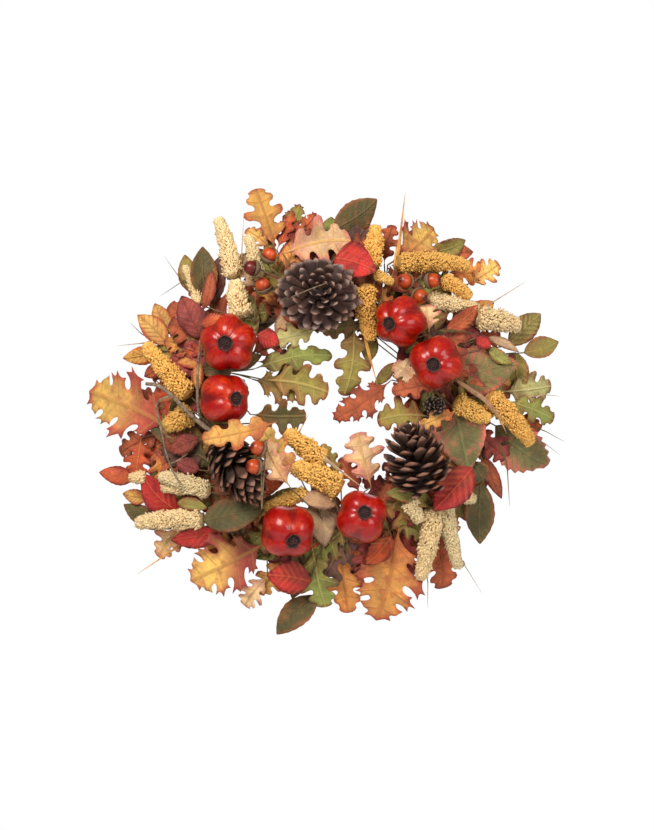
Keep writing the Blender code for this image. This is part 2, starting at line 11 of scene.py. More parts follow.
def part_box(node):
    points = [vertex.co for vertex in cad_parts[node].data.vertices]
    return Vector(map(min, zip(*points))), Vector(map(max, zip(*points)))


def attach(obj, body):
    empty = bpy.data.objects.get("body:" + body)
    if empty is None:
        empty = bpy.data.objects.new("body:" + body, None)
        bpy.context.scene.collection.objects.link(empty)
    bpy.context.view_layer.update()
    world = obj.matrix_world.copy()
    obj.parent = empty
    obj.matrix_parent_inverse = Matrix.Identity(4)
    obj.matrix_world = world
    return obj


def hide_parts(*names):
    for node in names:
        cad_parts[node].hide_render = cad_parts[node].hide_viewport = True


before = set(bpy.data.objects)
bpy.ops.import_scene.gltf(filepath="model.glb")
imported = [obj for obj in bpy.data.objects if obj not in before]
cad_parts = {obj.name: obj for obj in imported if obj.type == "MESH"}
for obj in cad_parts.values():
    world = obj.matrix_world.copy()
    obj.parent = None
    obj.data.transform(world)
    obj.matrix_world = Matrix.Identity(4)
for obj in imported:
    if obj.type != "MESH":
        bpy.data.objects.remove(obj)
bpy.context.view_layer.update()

# The looks of the harvest door wreath. Layout values are millimetres about the ring's centre:
# x to the right, z up, and y the depth, negative towards the front.

MM = 0.001
HOOP_WIRE = 2.0
BODY = "wreath"
FRONT = np.array((0.0, -1.0, 0.0))


def box_of(node):
    low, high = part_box(node)
    return np.array(low, float), np.array(high, float)


HOOP_LOW, HOOP_HIGH = box_of("frame_hoop")
CENTRE = (HOOP_LOW + HOOP_HIGH) / 2
RING_RADIUS = (HOOP_HIGH[0] - HOOP_LOW[0]) / 2 / MM - HOOP_WIRE


def at(x, z, y=0.0):
    """World point, in metres, of a layout place."""
    return CENTRE + np.array((x, y, z)) * MM


def unit(v):
    v = np.asarray(v, float)
    return v / max(1e-9, np.linalg.norm(v))


def on_ring(x, z, y):
    """World point on the ring's middle line, in the direction of a layout place."""
    return at(*(unit((x, z)) * RING_RADIUS), y)


def linear(colour):
    """Linear RGB of one sRGB colour given as 0 to 255, or of rows of them."""
    c = np.asarray(colour, float) / 255.0
    return np.where(c <= 0.04045, c / 12.92, ((np.maximum(c, 0.04045) + 0.055) / 1.055) ** 2.4)


def rows_of(text):
    """The lines of a table, each a list of its words, with its numbers as numbers."""
    return [[word if word.isidentifier() else float(word) for word in line.split()]
            for line in text.strip().splitlines()]


# ---- camera, light and stage ----------------------------------------------------------

FRAME_HEIGHT = 1.054
LENS = 85.0
SENSOR = 36.0
AIM = (6.3, -6.3, -35.0)
LIGHT_AIM = (0, 0, -40)
FLOOR_DROP = 0.9
FLOOR_SIZE = 3.0


def make_camera():
    data = bpy.data.cameras.new("camera")
    data.lens = LENS
    data.sensor_fit = "VERTICAL"
    data.sensor_height = SENSOR
    data.clip_start = 0.05
    camera = bpy.data.objects.new("camera", data)
    bpy.context.scene.collection.objects.link(camera)
    camera.location = at(*AIM) - np.array((0.0, FRAME_HEIGHT * LENS / SENSOR, 0.0))
    camera.rotation_euler = (radians(90), 0.0, 0.0)
    bpy.context.scene.camera = camera


def area_light(name, offset, size, power, colour=(1, 1, 1)):
    """A square lamp that stands off the wreath's middle, in metres, and is aimed at it."""
    data = bpy.data.lights.new(name, "AREA")
    data.size = size
    data.energy = power
    data.color = colour
    lamp = bpy.data.objects.new(name, data)
    bpy.context.scene.collection.objects.link(lamp)
    middle = at(*LIGHT_AIM)
    lamp.location = middle + offset
    aim = Vector(middle) - Vector(middle + offset)
    lamp.rotation_euler = aim.to_track_quat("-Z", "Y").to_euler()


def make_stage():
    scene = bpy.context.scene
    scene.view_settings.view_transform = "Standard"
    scene.world = bpy.data.worlds.new("studio")
    scene.world.use_nodes = True
    tree = scene.world.node_tree
    tree.nodes.clear()
    out = tree.nodes.new("ShaderNodeOutputWorld")
    path = tree.nodes.new("ShaderNodeLightPath")
    mix = tree.nodes.new("ShaderNodeMixShader")
    tree.links.new(path.outputs["Is Camera Ray"], mix.inputs[0])
    # what lights the wreath, and the plain white seen behind it
    for socket, colour, strength in ((1, (0.93, 0.96, 1.0, 1.0), 0.25), (2, (1, 1, 1, 1), 1.0)):
        glow = tree.nodes.new("ShaderNodeBackground")
        glow.inputs["Color"].default_value = colour
        glow.inputs["Strength"].default_value = strength
        tree.links.new(glow.outputs[0], mix.inputs[socket])
    tree.links.new(mix.outputs[0], out.inputs[0])
    area_light("key", (-0.9, -2.1, 1.5), 1.2, 75.0, (1.0, 0.98, 0.95))
    area_light("fill", (1.6, -1.9, 0.3), 1.4, 30.0)
    area_light("back", (0.3, 2.2, 1.2), 1.6, 14.0)
    bpy.ops.mesh.primitive_plane_add(size=FLOOR_SIZE, location=(0, 0, CENTRE[2] - FLOOR_DROP))
    floor = bpy.context.object
    floor.name = "floor"
    pale = bpy.data.materials.new("floor")
    pale.use_nodes = True
    shader = pale.node_tree.nodes["Principled BSDF"]
    shader.inputs["Base Color"].default_value = (0.86, 0.86, 0.86, 1)
    shader.inputs["Roughness"].default_value = 0.9
    floor.data.materials.append(pale)


# ---- materials ------------------------------------------------------------------------


class Nodes:
    """Short words for building one material."""

    def __init__(self, name):
        self.mat = bpy.data.materials.new(name)
        self.mat.use_nodes = True
        self.tree = self.mat.node_tree
        self.shader = self.tree.nodes["Principled BSDF"]

    def put(self, node, key, value):
        if isinstance(value, bpy.types.NodeSocket):
            self.tree.links.new(value, node.inputs[key])
        else:
            node.inputs[key].default_value = value

    def node(self, kind, inputs=(), **settings):
        """A new node, with its inputs by name or number and its settings."""
        node = self.tree.nodes.new("ShaderNode" + kind)
        for key, value in settings.items():
            setattr(node, key, value)
        for key, value in dict(inputs).items():
            self.put(node, key, value)
        return node

    def math(self, operation, a, b=0.0, c=0.0):
        return self.node("Math", {0: a, 1: b, 2: c}, operation=operation).outputs[0]

    def plus(self, a, b):
        return self.math("ADD", a, b)

    def times(self, a, b):
        return self.math("MULTIPLY", a, b)

    def scaled(self, a, scale, shift):
        return self.math("MULTIPLY_ADD", a, scale, shift)

    def less(self, a):
        """One less a value."""
        return self.math("SUBTRACT", 1.0, a)

    def colour(self, name):
        return self.node("Attribute", attribute_name=name).outputs["Color"]

    def place(self):
        """The three numbers that each point of a mesh carries for its material."""
        vector = self.node("Attribute", attribute_name="place").outputs["Vector"]
        return self.node("SeparateXYZ", {0: vector}).outputs

    def here(self):
        return self.node("TexCoord").outputs["Object"]

    def noise(self, scale, detail=3.0, rough=0.55, vector=None):
        inputs = {"Scale": scale, "Detail": detail, "Roughness": rough,
                  "Vector": self.here() if vector is None else vector}
        return self.node("TexNoise", inputs).outputs["Fac"]

    def ramp(self, value, low, high):
        """0 below low, 1 above high, smooth between."""
        inputs = {"Value": value, "From Min": low, "From Max": high}
        return self.node("MapRange", inputs, interpolation_type="SMOOTHSTEP").outputs[0]

    def mix(self, factor, a, b, blend="MIX"):
        inputs = {"Factor": factor, 6: a, 7: b}
        return self.node("Mix", inputs, data_type="RGBA", blend_type=blend).outputs[2]

    def toned(self, colour, tone):
        """A colour made lighter or darker by a number."""
        grey = self.node("CombineXYZ", {0: tone, 1: tone, 2: tone}).outputs[0]
        return self.mix(1.0, colour, grey, "MULTIPLY")

    def rgb(self, *colour):
        return (*linear(colour), 1.0)

    def bump(self, height, strength, distance):
        inputs = {"Height": height, "Strength": strength, "Distance": distance}
        self.put(self.shader, "Normal", self.node("Bump", inputs).outputs[0])

    def finish(self, colour, rough, **constants):
        """The material; underscores in the names of its constants stand for spaces."""
        self.put(self.shader, "Base Color", colour)
        self.put(self.shader, "Roughness", rough)
        for key, value in constants.items():
            self.shader.inputs[key.replace("_", " ")].default_value = value
        return self.mat


def leaf_material(name, gloss, side_veins, lean, vein_light, streaks):
    """Printed leaf cloth: heart colour to rim colour, mottled, with drawn and raised veins."""
    n = Nodes(name)
    along, across, edge = n.place()
    rim, vein_colour = n.colour("rim"), n.colour("vein")
    blotch, fine = n.noise(34.0, 4.0), n.noise(190.0, 4.0, 0.6)
    level = n.plus(edge, n.scaled(blotch, 1.15, -0.62))
    colour = n.mix(n.ramp(level, 0.18, 0.86), n.colour("heart"), rim)
    fleck = n.times(n.ramp(n.noise(85.0, 2.0), 0.52, 0.66), 0.45)
    colour = n.mix(fleck, colour, rim)
    faded = n.times(n.ramp(n.noise(58.0, 4.0, 0.6), 0.48, 0.64), 0.6)
    colour = n.mix(faded, colour, n.mix(1.0, colour, (1.5, 1.42, 1.15, 1.0), "MULTIPLY"))
    shadow = n.times(n.ramp(n.noise(24.0, 3.0), 0.50, 0.72), 0.4)
    colour = n.mix(shadow, colour, n.rgb(74, 62, 34))
    colour = n.toned(colour, n.scaled(fine, 0.55, 0.68))
    size = n.math("ABSOLUTE", across)
    wave = n.math("FRACT", n.times(n.scaled(size, -lean, along), side_veins))
    near = n.math("ABSOLUTE", n.math("SUBTRACT", wave, 0.5))
    side = n.times(n.less(n.ramp(near, 0.015, 0.07)), n.less(n.ramp(edge, 0.7, 1.0)))
    midrib = n.less(n.ramp(size, 0.02, 0.085))
    beside = n.times(n.less(n.ramp(near, 0.05, 0.36)), n.ramp(blotch, 0.42, 0.6))
    colour = n.mix(n.times(beside, streaks), colour, vein_colour)
    vein = n.math("MAXIMUM", midrib, n.times(side, 0.6))
    colour = n.mix(n.times(vein, vein_light), colour, vein_colour)
    cells = n.node("TexVoronoi", {"Scale": 330.0, "Vector": n.here()}, feature="DISTANCE_TO_EDGE")
    weave = n.ramp(cells.outputs["Distance"], 0.0, 0.16)
    height = n.scaled(weave, -0.35, n.scaled(fine, 0.5, n.times(vein, 1.3)))
    n.bump(height, 0.7, 0.0014)
    return n.finish(colour, n.scaled(blotch, 0.2, gloss), Sheen_Weight=0.05,
                    Specular_IOR_Level=0.28)


def grain_material(name, rough, bump_scale, specular=0.3):
    """Anything coloured by its own points: from heart inside to rim at the tips, with grain."""
    n = Nodes(name)
    patch, fine = n.noise(bump_scale * 0.35, 3.0), n.noise(bump_scale, 4.0, 0.65)
    level = n.plus(n.place()[2], n.scaled(patch, 0.8, -0.4))
    colour = n.mix(n.ramp(level, 0.1, 0.95), n.colour("heart"), n.colour("rim"))
    colour = n.toned(colour, n.scaled(fine, 0.9, 0.55))
    n.bump(fine, 0.5, 0.001)
    return n.finish(colour, n.scaled(patch, 0.2, rough), Specular_IOR_Level=specular)


def fruit_material():
    """Lacquered skin: red lobes, orange where worn, deep red painted shade in the creases."""
    n = Nodes("fruit_lacquer")
    turn, polar, crease = n.place()
    stretch = n.node("CombineXYZ", {0: n.times(turn, 5.0), 1: n.times(polar, 1.2)}).outputs[0]
    streak = n.noise(4.0, 5.0, 0.65, stretch)
    patch = n.noise(38.0, 3.0)
    worn = n.times(n.ramp(n.plus(streak, patch), 0.92, 1.28), 0.85)
    colour = n.mix(worn, n.rgb(158, 8, 3), n.rgb(210, 58, 14))
    # painted shade: the creases, broken up by noise, are darkened towards deep red
    dark = n.ramp(n.plus(crease, n.scaled(patch, 0.5, -0.25)), 0.15, 0.8)
    colour = n.mix(n.times(dark, 0.6), colour, n.rgb(72, 3, 2))
    speck = n.times(n.ramp(n.noise(150.0, 2.0), 0.66, 0.72), 0.6)
    colour = n.mix(speck, colour, n.rgb(60, 10, 6))
    n.bump(n.noise(300.0, 2.0), 0.06, 0.0006)
    return n.finish(colour, n.scaled(patch, 0.2, 0.3), Coat_Weight=0.55, Coat_Roughness=0.19,
                    Specular_IOR_Level=0.2)


def bark_material(name, light, dark):
    n = Nodes(name)
    ridge, patch = n.noise(260.0, 5.0, 0.7), n.noise(28.0, 3.0)
    colour = n.mix(n.ramp(ridge, 0.35, 0.7), n.rgb(*dark), n.rgb(*light))
    colour = n.mix(n.times(patch, 0.5), colour, n.rgb(*dark))
    n.bump(ridge, 0.9, 0.0015)
    return n.finish(colour, n.scaled(patch, 0.2, 0.72))


def wire_material():
    n = Nodes("galvanised_wire")
    fine = n.noise(420.0, 3.0)
    n.bump(fine, 0.2, 0.0004)
    colour = n.mix(fine, n.rgb(128, 130, 130), n.rgb(176, 176, 172))
    return n.finish(colour, n.scaled(fine, 0.3, 0.3), Metallic=1.0)


MATERIALS = {
    "oak": leaf_material("oak_leaf_cloth", 0.56, 1.0, 0.0, 0.6, 0.12),
    "broad": leaf_material("broad_leaf_cloth", 0.42, 7.0, 0.3, 0.4, 0.5),
    "seed": grain_material("seed_grain", 0.68, 420.0),
    "cone": grain_material("cone_scale", 0.66, 300.0),
    "nut": grain_material("nut_shell", 0.2, 160.0, 0.45),
    "cap": grain_material("acorn_cap_skin", 0.75, 500.0),
    "crown": grain_material("dried_crown_skin", 0.7, 380.0),
    "fruit": fruit_material(),
    "vine": bark_material("vine_bark", (176, 152, 122), (96, 76, 56)),
    "twig": bark_material("twig_bark", (150, 124, 84), (92, 72, 44)),
    "wire": wire_material(),
}

# ---- building meshes ------------------------------------------------------------------

WHITE = (255, 255, 255)


def point_colours(colour, number):
    """Linear RGBA for each point, from one sRGB colour or from one for each point."""
    rows = np.broadcast_to(linear(np.atleast_2d(colour)), (number, 3))
    return np.column_stack([rows, np.ones(number)])


def circle(count):
    """Angles once round."""
    return 2 * pi * np.arange(count) / count


def spun(turn, radius, along):
    """Points about an axis, from angles, radii and places along it."""
    return np.stack(np.broadcast_arrays(radius * np.cos(turn), radius * np.sin(turn), along), -1)


def marked(shape, values):
    """Rows of point marks that only say how far each point is from heart to rim."""
    marks = np.zeros((*shape, 3))
    marks[..., 2] = values
    return marks


def grid_faces(rows, cols, round_cols, round_rows=False):
    """Faces between the points of a grid, joined round where told."""
    return [(i * cols + j, i * cols + (j + 1) % cols,
             (i + 1) % rows * cols + (j + 1) % cols, (i + 1) % rows * cols + j)
            for i in range(rows if round_rows else rows - 1)
            for j in range(cols if round_cols else cols - 1)]


def outward(mesh):
    """Turn every face of a mesh's closed parts to face out."""
    work = bmesh.new()
    work.from_mesh(mesh)
    bmesh.ops.recalc_face_normals(work, faces=work.faces)
    work.to_mesh(mesh)
    work.free()


class Shape:
    """One piece being built: points, faces, a material for each face, and point marks."""

    def __init__(self):
        self.points, self.faces, self.slots, self.names = [], [], [], []
        self.marks = {"place": [], "heart": [], "rim": [], "vein": []}
        self.count = 0

    def add(self, points, faces, material, place=None, heart=WHITE, rim=None, vein=None):
        points = np.asarray(points, float)
        number = len(points)
        self.points.append(points)
        self.faces.extend([tuple(i + self.count for i in face) for face in faces])
        if material not in self.names:
            self.names.append(material)
        self.slots.extend([self.names.index(material)] * len(faces))
        rim = heart if rim is None else rim
        vein = rim if vein is None else vein
        self.marks["place"].append(np.zeros((number, 3)) if place is None else place)
        for key, colour in (("heart", heart), ("rim", rim), ("vein", vein)):
            self.marks[key].append(point_colours(colour, number))
        self.count += number

    def sheet(self, top, bottom, material, place, **colours):
        """A closed thin solid from two grids of points, rows by columns."""
        rows, cols = top.shape[:2]
        half = rows * cols
        faces = grid_faces(rows, cols, False)
        faces += [tuple(half + i for i in reversed(face)) for face in faces]
        index = np.arange(half).reshape(rows, cols)
        edge = [*index[0], *index[1:, -1], *index[-1, -2::-1], *index[-2:0:-1, 0]]
        runs = zip(edge, edge[1:] + edge[:1], strict=True)
        faces += [(a, b, half + b, half + a) for a, b in runs]
        points = np.concatenate([top.reshape(-1, 3), bottom.reshape(-1, 3)])
        self.add(points, faces, material, np.tile(place.reshape(-1, 3), (2, 1)), **colours)

    def lofted(self, rings, material, place=None, **colours):
        """Rings of points joined into a skin; the ends are closed with fans."""
        rings = np.asarray(rings, float)
        rows, cols = rings.shape[:2]
        marks = np.zeros((rows, cols, 3)) if place is None else np.asarray(place, float)
        marks = marks.reshape(-1, 3)
        points = [rings.reshape(-1, 3), [rings[0].mean(axis=0), rings[-1].mean(axis=0)]]
        last = rows * cols
        faces = grid_faces(rows, cols, True)
        for j in range(cols):
            k = (j + 1) % cols
            faces += [(k, j, last), (last - cols + j, last - cols + k, last + 1)]
        self.add(np.concatenate(points), faces, material,
                 np.concatenate([marks, [marks[0], marks[-1]]]), **colours)

    def tube(self, route, radii, material, sides=7, smooth=0, **colours):
        """A round stem along world points; radii in millimetres, one or two ends."""
        route = [np.asarray(p, float) for p in route]
        for _ in range(smooth):
            finer = [route[0]]
            for a, b in zip(route, route[1:], strict=False):
                finer += [a * 0.75 + b * 0.25, a * 0.25 + b * 0.75]
            route = [*finer, route[-1]]
        low, high = radii if isinstance(radii, tuple) else (radii, radii)
        last = len(route) - 1
        side = None
        rings = []
        turn = circle(sides)[:, None]
        for i, point in enumerate(route):
            along = unit(route[min(i + 1, last)] - route[max(i - 1, 0)])
            if side is None:
                side = unit(np.cross(along, (0.31, 0.87, 0.21)))
            side = unit(side - along * np.dot(side, along))
            up = np.cross(along, side)
            radius = (low + (high - low) * i / last) * MM
            rings.append(point + radius * (np.cos(turn) * side + np.sin(turn) * up))
        self.lofted(rings, material, **colours)

    def stalk(self, x, z, end):
        """A stub of twig from the ring, in a layout place's direction, to a world point."""
        self.tube([on_ring(x, z, RING_FACE), end], STALK_RADIUS, "twig")

    def finish(self, name, body=BODY, nodes=(), slot=None):
        mesh = bpy.data.meshes.new(name)
        mesh.from_pydata(np.concatenate(self.points).tolist(), [], self.faces)
        outward(mesh)
        for key, data in self.marks.items():
            kind, field = ("VECTOR", "vector") if key == "place" else ("COLOR", "color")
            layer = mesh.attributes.new(key, "FLOAT_" + kind, "POINT")
            layer.data.foreach_set(field, np.concatenate(data).astype(np.float32).ravel())
        for material in self.names:
            mesh.materials.append(MATERIALS[material])
        mesh.polygons.foreach_set("material_index", self.slots)
        mesh.shade_smooth()
        obj = bpy.data.objects.new(name, mesh)
        bpy.context.scene.collection.objects.link(obj)
        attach(obj, body)
        if nodes:
            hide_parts(*nodes)
        return obj


# ---- leaves ---------------------------------------------------------------------------

DOME_SLOPE = 0.22
LEAF_THICKNESS = 0.7
BLADE_THICKNESS = 0.4
BLADE_LEAST = 0.1
STEM_RADIUS = 0.85
ROOT_RADIUS = 1.2
STALK_RADIUS = 1.6
RING_FACE = -13.0
KNOT_DEPTH = -12.0

# heart, rim and vein colours of each kind of leaf
PALETTES = {name: (rgb[:3], rgb[3:6], rgb[6:]) for name, *rgb in rows_of("""
amber 228 170 88 188 88 54 176 116 60
peach 236 192 142 206 116 106 212 164 84
orange 226 152 76 174 76 56 170 104 54
yellow 234 190 106 194 100 64 186 138 76
rust 184 94 58 132 56 44 150 76 48
burgundy 164 76 66 116 44 44 126 56 50
red 182 42 38 122 24 28 208 92 60
redorange 202 86 48 146 48 38 218 134 70
olive 146 132 64 138 78 50 180 158 90
green 138 142 68 128 90 50 180 172 96
pale 186 180 116 150 108 70 202 192 130
dark 86 78 44 136 82 44 118 106 64
purple 108 74 64 86 58 48 142 102 84
gold 232 178 90 168 68 60 184 128 64
bronze 116 108 66 190 102 88 128 128 74
tan 192 154 116 144 98 78 208 170 128
""")}


def domed(x, z, y):
    """World point of a layout place, set back with its distance outside the ring."""
    return at(x, z, y + DOME_SLOPE * max(0.0, hypot(x, z) - RING_RADIUS))


def thousandths(text):
    """Pairs of numbers that are written in thousandths."""
    return [(u / 1000, w / 1000) for u, w in np.array(text.split(), float).reshape(-1, 2)]


# Half of a lobed leaf before its lobes lean forward: place along the midrib, and reach as a
# share of the half width
OAK_HALF = thousandths("""
0 20 100 35 130 90 152 220 160 380 135 540 180 500 205 620 228 490 268 530 262 440 266 370
277 335 292 325 308 340 320 390 328 470 330 600 318 720 285 860 350 830 380 890 405 1000
430 880 460 830 525 880 492 720 478 600 480 500 490 430 505 385 522 370 540 385 552 430
558 490 556 580 532 700 590 660 615 710 640 840 660 690 685 650 740 690 712 550 705 460
710 390 722 340 738 325 755 340 768 390 772 460 770 570 820 470 855 420 880 300 900 270
945 340 950 190 970 110 1000 15
""")
# The same for a smaller leaf with rounded lobes
ROUND_HALF = thousandths("""
0 20 80 35 120 100 155 260 165 400 160 540 195 680 245 700 290 620 312 480 330 380 355 320
380 310 405 340 420 450 425 620 412 780 440 950 495 1000 555 920 585 760 592 600 604 460
625 380 655 350 682 390 695 490 700 620 750 690 810 610 835 480 855 400 885 370 925 410
962 310 990 170 1000 20
""")
# For each kind: outline, reach at the bays, where each lobe starts, and each lobe's middle
LOBED = {
    "oak": (OAK_HALF, 0.34, (0.12, 0.29, 0.52, 0.735), (0.0, 0.205, 0.405, 0.635, 0.85, 1.0)),
    "round": (ROUND_HALF, 0.35, (0.12, 0.37, 0.65, 0.87), (0.0, 0.225, 0.50, 0.755, 0.93, 1.0)),
}
# Places of the lobes' middles as the material counts them, and of the four lobes themselves
LOBE_VEINS = (0.0, 0.5, 1.5, 2.5, 3.5, 4.2)
LOBES = LOBE_VEINS[1:5]


def lobed_side(kind, rng):
    """One side's outline, with each lobe a little different."""
    half, bay, starts, _ = LOBED[kind]
    grow = [rng.uniform(0.74, 1.06) for _ in starts]
    move = [rng.uniform(-0.012, 0.012) for _ in starts]
    rows = []
    for u, w in half:
        lobe = sum(1 for start in starts if u > start) - 1
        if lobe >= 0 and w > bay:
            w = bay + (w - bay) * grow[lobe] * rng.uniform(0.94, 1.04)
            u += move[lobe]
        rows.append((u, w))
    return rows


def broad_side(kind, rng):
    """One side of a pointed oval or heart-shaped leaf with a slightly wavy edge."""
    shift = rng.random()
    peak = rng.uniform(0.56, 0.62) if kind == "heart" else rng.uniform(0.76, 0.92)
    rows = []
    for i in range(22):
        u = i / 21
        wave = 1.0 + 0.025 * sin(2 * pi * (7 * u + shift))
        rows.append((u, wave * max(0.02, sin(pi * u**peak)) ** 0.78))
    return rows


def toothed_side(_, rng):
    """One side of an oval leaf with coarse teeth that point forward."""
    teeth, peak = 9, rng.uniform(0.78, 0.9)
    rows = [(0.0, 0.02)]
    for i in range(1, 2 * teeth):
        u = i / (2 * teeth)
        w = sin(pi * u**peak) ** 0.8
        rows.append((u + 0.035, w * 1.04) if i % 2 else (u, w * 0.93))
    return [*rows, (1.0, 0.02)]


SIDES = {"oak": lobed_side, "round": lobed_side, "broad": broad_side, "heart": broad_side,
         "toothed": toothed_side}


def vary(colour, rng, amount=0.07):
    """A colour a little lighter or darker, and a little warmer or cooler."""
    shade = 1.0 + rng.uniform(-amount, amount)
    warm = rng.uniform(-amount, amount) * 0.5
    tints = (1.0 + warm, 1.0, 1.0 - warm)
    return tuple(min(255.0, c * shade * t) for c, t in zip(colour, tints, strict=True))


def from_edge(points, corners):
    """How far each flat point is from a closed outline."""
    run = np.roll(corners, -1, axis=0) - corners
    away = points[:, None] - corners
    share = (away * run).sum(-1) / np.maximum(1e-12, (run**2).sum(-1))
    gap = away - np.clip(share, 0, 1)[..., None] * run
    return np.sqrt((gap**2).sum(-1)).min(axis=1)


def inside(points, corners):
    """Which flat points are inside a closed outline."""
    x, y = points[:, :1], points[:, 1:]
    (ax, ay), (bx, by) = corners.T, np.roll(corners, -1, axis=0).T
    rise = np.where(by == ay, 1e-12, by - ay)
    crossed = ((ay > y) != (by > y)) & (x < ax + (y - ay) * (bx - ax) / rise)
    return crossed.sum(axis=1) % 2 == 1


def flat_leaf(kind, length, half, step, rng):
    """A leaf lying flat, in millimetres: points, triangles, outline, and its lobes' lean."""
    lean = rng.uniform(0.42, 0.66) if kind in LOBED else 0.1
    sides = [[(u * length + lean * w * half * sqrt(max(0.0, 1 - u)), sign * w * half)
              for u, w in SIDES[kind](kind, rng)] for sign in (-1, 1)]
    corners = np.array(sides[0] + sides[1][::-1])
    middle = np.arange(step, length - step / 2, step)
    rows = [np.column_stack([middle, np.zeros(len(middle))])]
    for k in range(1, int(half / step) + 1):
        for row in (-k, k):
            shifted = middle + step / 2 * (k % 2)
            rows.append(np.column_stack([shifted, np.full(len(middle), row * step)]))
    grid = np.concatenate(rows)
    grid = grid[inside(grid, corners)]
    grid = grid[from_edge(grid, corners) > 0.35 * step]
    points = [Vector(p) for p in np.concatenate([corners, grid])]
    found = delaunay_2d_cdt(points, [], [list(range(len(corners)))], 1, 1e-4)
    return np.array([tuple(p) for p in found[0]]), found[2], corners, lean


def leaf(shape, kind, palette, spots, rng, step=4.0):
    """One thin curled leaf. Spots: base and tip, width, depth, how far the tip comes forward
    of the dome, and the roll about the midrib in degrees."""
    base_x, base_z, tip_x, tip_z, width, y, lift, roll = spots
    start = domed(base_x, base_z, y)
    end = domed(tip_x, tip_z, y - lift)
    length = np.linalg.norm(end - start) / MM
    half = width / 2
    along = unit(end - start)
    front = unit(FRONT - along * np.dot(FRONT, along))
    across = np.cross(front, along)
    turn = radians(roll)
    across, front = (across * cos(turn) + front * sin(turn),
                     front * cos(turn) - across * sin(turn))
    lobed = kind in LOBED
    flat, triangles, corners, lean = flat_leaf(kind, length, half, step, rng)
    x, side = flat.T
    v = side / half
    out = np.abs(v)
    far = x / length
    u = far
    for _ in range(5):
        u = np.clip((x - lean * out * half * np.sqrt(np.clip(1 - u, 0, 1))) / length, 0, 1)
    vein_place = np.interp(u, LOBED[kind][3], LOBE_VEINS) if lobed else far
    left, right = ([rng.uniform(-0.3, 0.35) for _ in range(4)] for _ in range(2))
    lobe = np.where(v > 0, *(np.interp(vein_place, LOBES, lifts) for lifts in (left, right)))
    fold, cup = rng.uniform(-0.08, 0.3), rng.uniform(-0.15, 0.25)
    bend, curl = rng.uniform(-0.02, 0.09), rng.uniform(-0.45, 0.12)
    sway = rng.uniform(-0.06, 0.06) * length
    ripple = rng.uniform(0.05, 0.1) * (1.0 if lobed else 0.7)
    phase = rng.uniform(0, 6.28)
    rise = half * (fold * (out - 0.3) + cup * out**2 + (lobe * out**3 if lobed else 0.0))
    rise += bend * length * 4 * far * (1 - far) + curl * length * np.maximum(0, far - 0.5) ** 2
    rise += ripple * half * out * np.sin((19.0 if lobed else 12.0) * far + phase + 2 * v)
    shift = side + sway * np.sin(pi * np.clip(far, 0, 1))
    middle = start + (np.outer(x, along) + np.outer(shift, across) + np.outer(rise, front)) * MM
    thick = front * LEAF_THICKNESS / 2 * MM
    heart, rim, vein = (np.array(vary(c, rng)) for c in PALETTES[palette])
    tilt = rng.uniform(-0.4, 0.4)
    foot_tint = rng.uniform(0.35, 1.0) if lobed else rng.uniform(0.0, 0.5)
    foot_start = 0.08
    if palette == "gold":
        foot_tint, foot_start = 1.0, 0.2
    foot = np.clip((far + tilt * v - foot_start) / 0.5, 0, 1)
    foot = (foot_tint * (1 - foot * foot * (3 - 2 * foot)))[:, None]
    near = np.clip(1 - from_edge(flat, corners) / (0.1 * width), 0, 1)
    edge = np.maximum(0.85 * out**1.6, (far - 0.8) * 3) + 0.3 * near
    place = np.column_stack([vein_place, v, edge])
    number = len(flat)
    faces = [tuple(face) for face in triangles]
    runs = {(a, b) for face in faces for a, b in zip(face, face[1:] + face[:1], strict=True)}
    walls = [(b, a, a + number, b + number) for a, b in runs if (b, a) not in runs]
    faces += [tuple(i + number for i in reversed(face)) for face in triangles] + walls
    tint = np.tile(heart * (1 - foot) + rim * foot, (2, 1))
    shape.add(np.concatenate([middle + thick, middle - thick]), faces,
              "oak" if lobed else "broad", np.tile(place, (2, 1)), heart=tint, rim=rim, vein=vein)


# Colours of the leaves that fill behind the picked ones, the common ones named more often
FILL_COLOURS = """rust rust rust burgundy burgundy burgundy olive olive olive dark dark purple
amber green green redorange orange purple tan""".split()
FILL_COUNT = 15


def filler(shape, root, rng):
    """Leaves that fill behind a pick, most outwards from the ring and a few inwards."""
    middle = atan2(root[1], root[0])
    for k in range(FILL_COUNT):
        inward = k % 5 == 4
        angle = middle + radians(rng.uniform(-15, 15))
        near = rng.uniform(132, 150) if inward else rng.uniform(128, 172)
        base = np.array((cos(angle), sin(angle))) * near
        aim = angle + radians(rng.uniform(-70, 70)) + (pi if inward else 0.0)
        length = rng.uniform(38, 52) if inward else rng.uniform(52, 82)
        tip = base + np.array((cos(aim), sin(aim))) * length
        far = hypot(*tip)
        tip *= max(1.0, 96 / far) if inward else min(1.0, 236 / far)
        kind = rng.choice(("oak", "round", "round", "broad", "broad"))
        width = length * (rng.uniform(0.62, 0.82) if kind in LOBED else rng.uniform(0.42, 0.55))
        depth = rng.uniform(-36, -14)
        palette = rng.choice(FILL_COLOURS)
        lift, roll = rng.uniform(-3, 7), rng.uniform(-25, 25)
        leaf(shape, kind, palette, (*base, *tip, width, depth, lift, roll), rng, 6.0)


def stems(shape, root, y, bases, rng):
    """Wire stems in twig tape, from a pick's root on the ring to each leaf or head."""
    foot = on_ring(*root, y)
    shape.tube([on_ring(*root, KNOT_DEPTH), foot], ROOT_RADIUS, "twig")
    for x, z, depth in bases:
        end = domed(x, z, depth)
        middle = (foot + end) / 2 + np.array((rng.uniform(-2, 2), 0.0, rng.uniform(-2, 2))) * MM
        shape.tube([foot, middle, end], STEM_RADIUS, "twig", smooth=1)


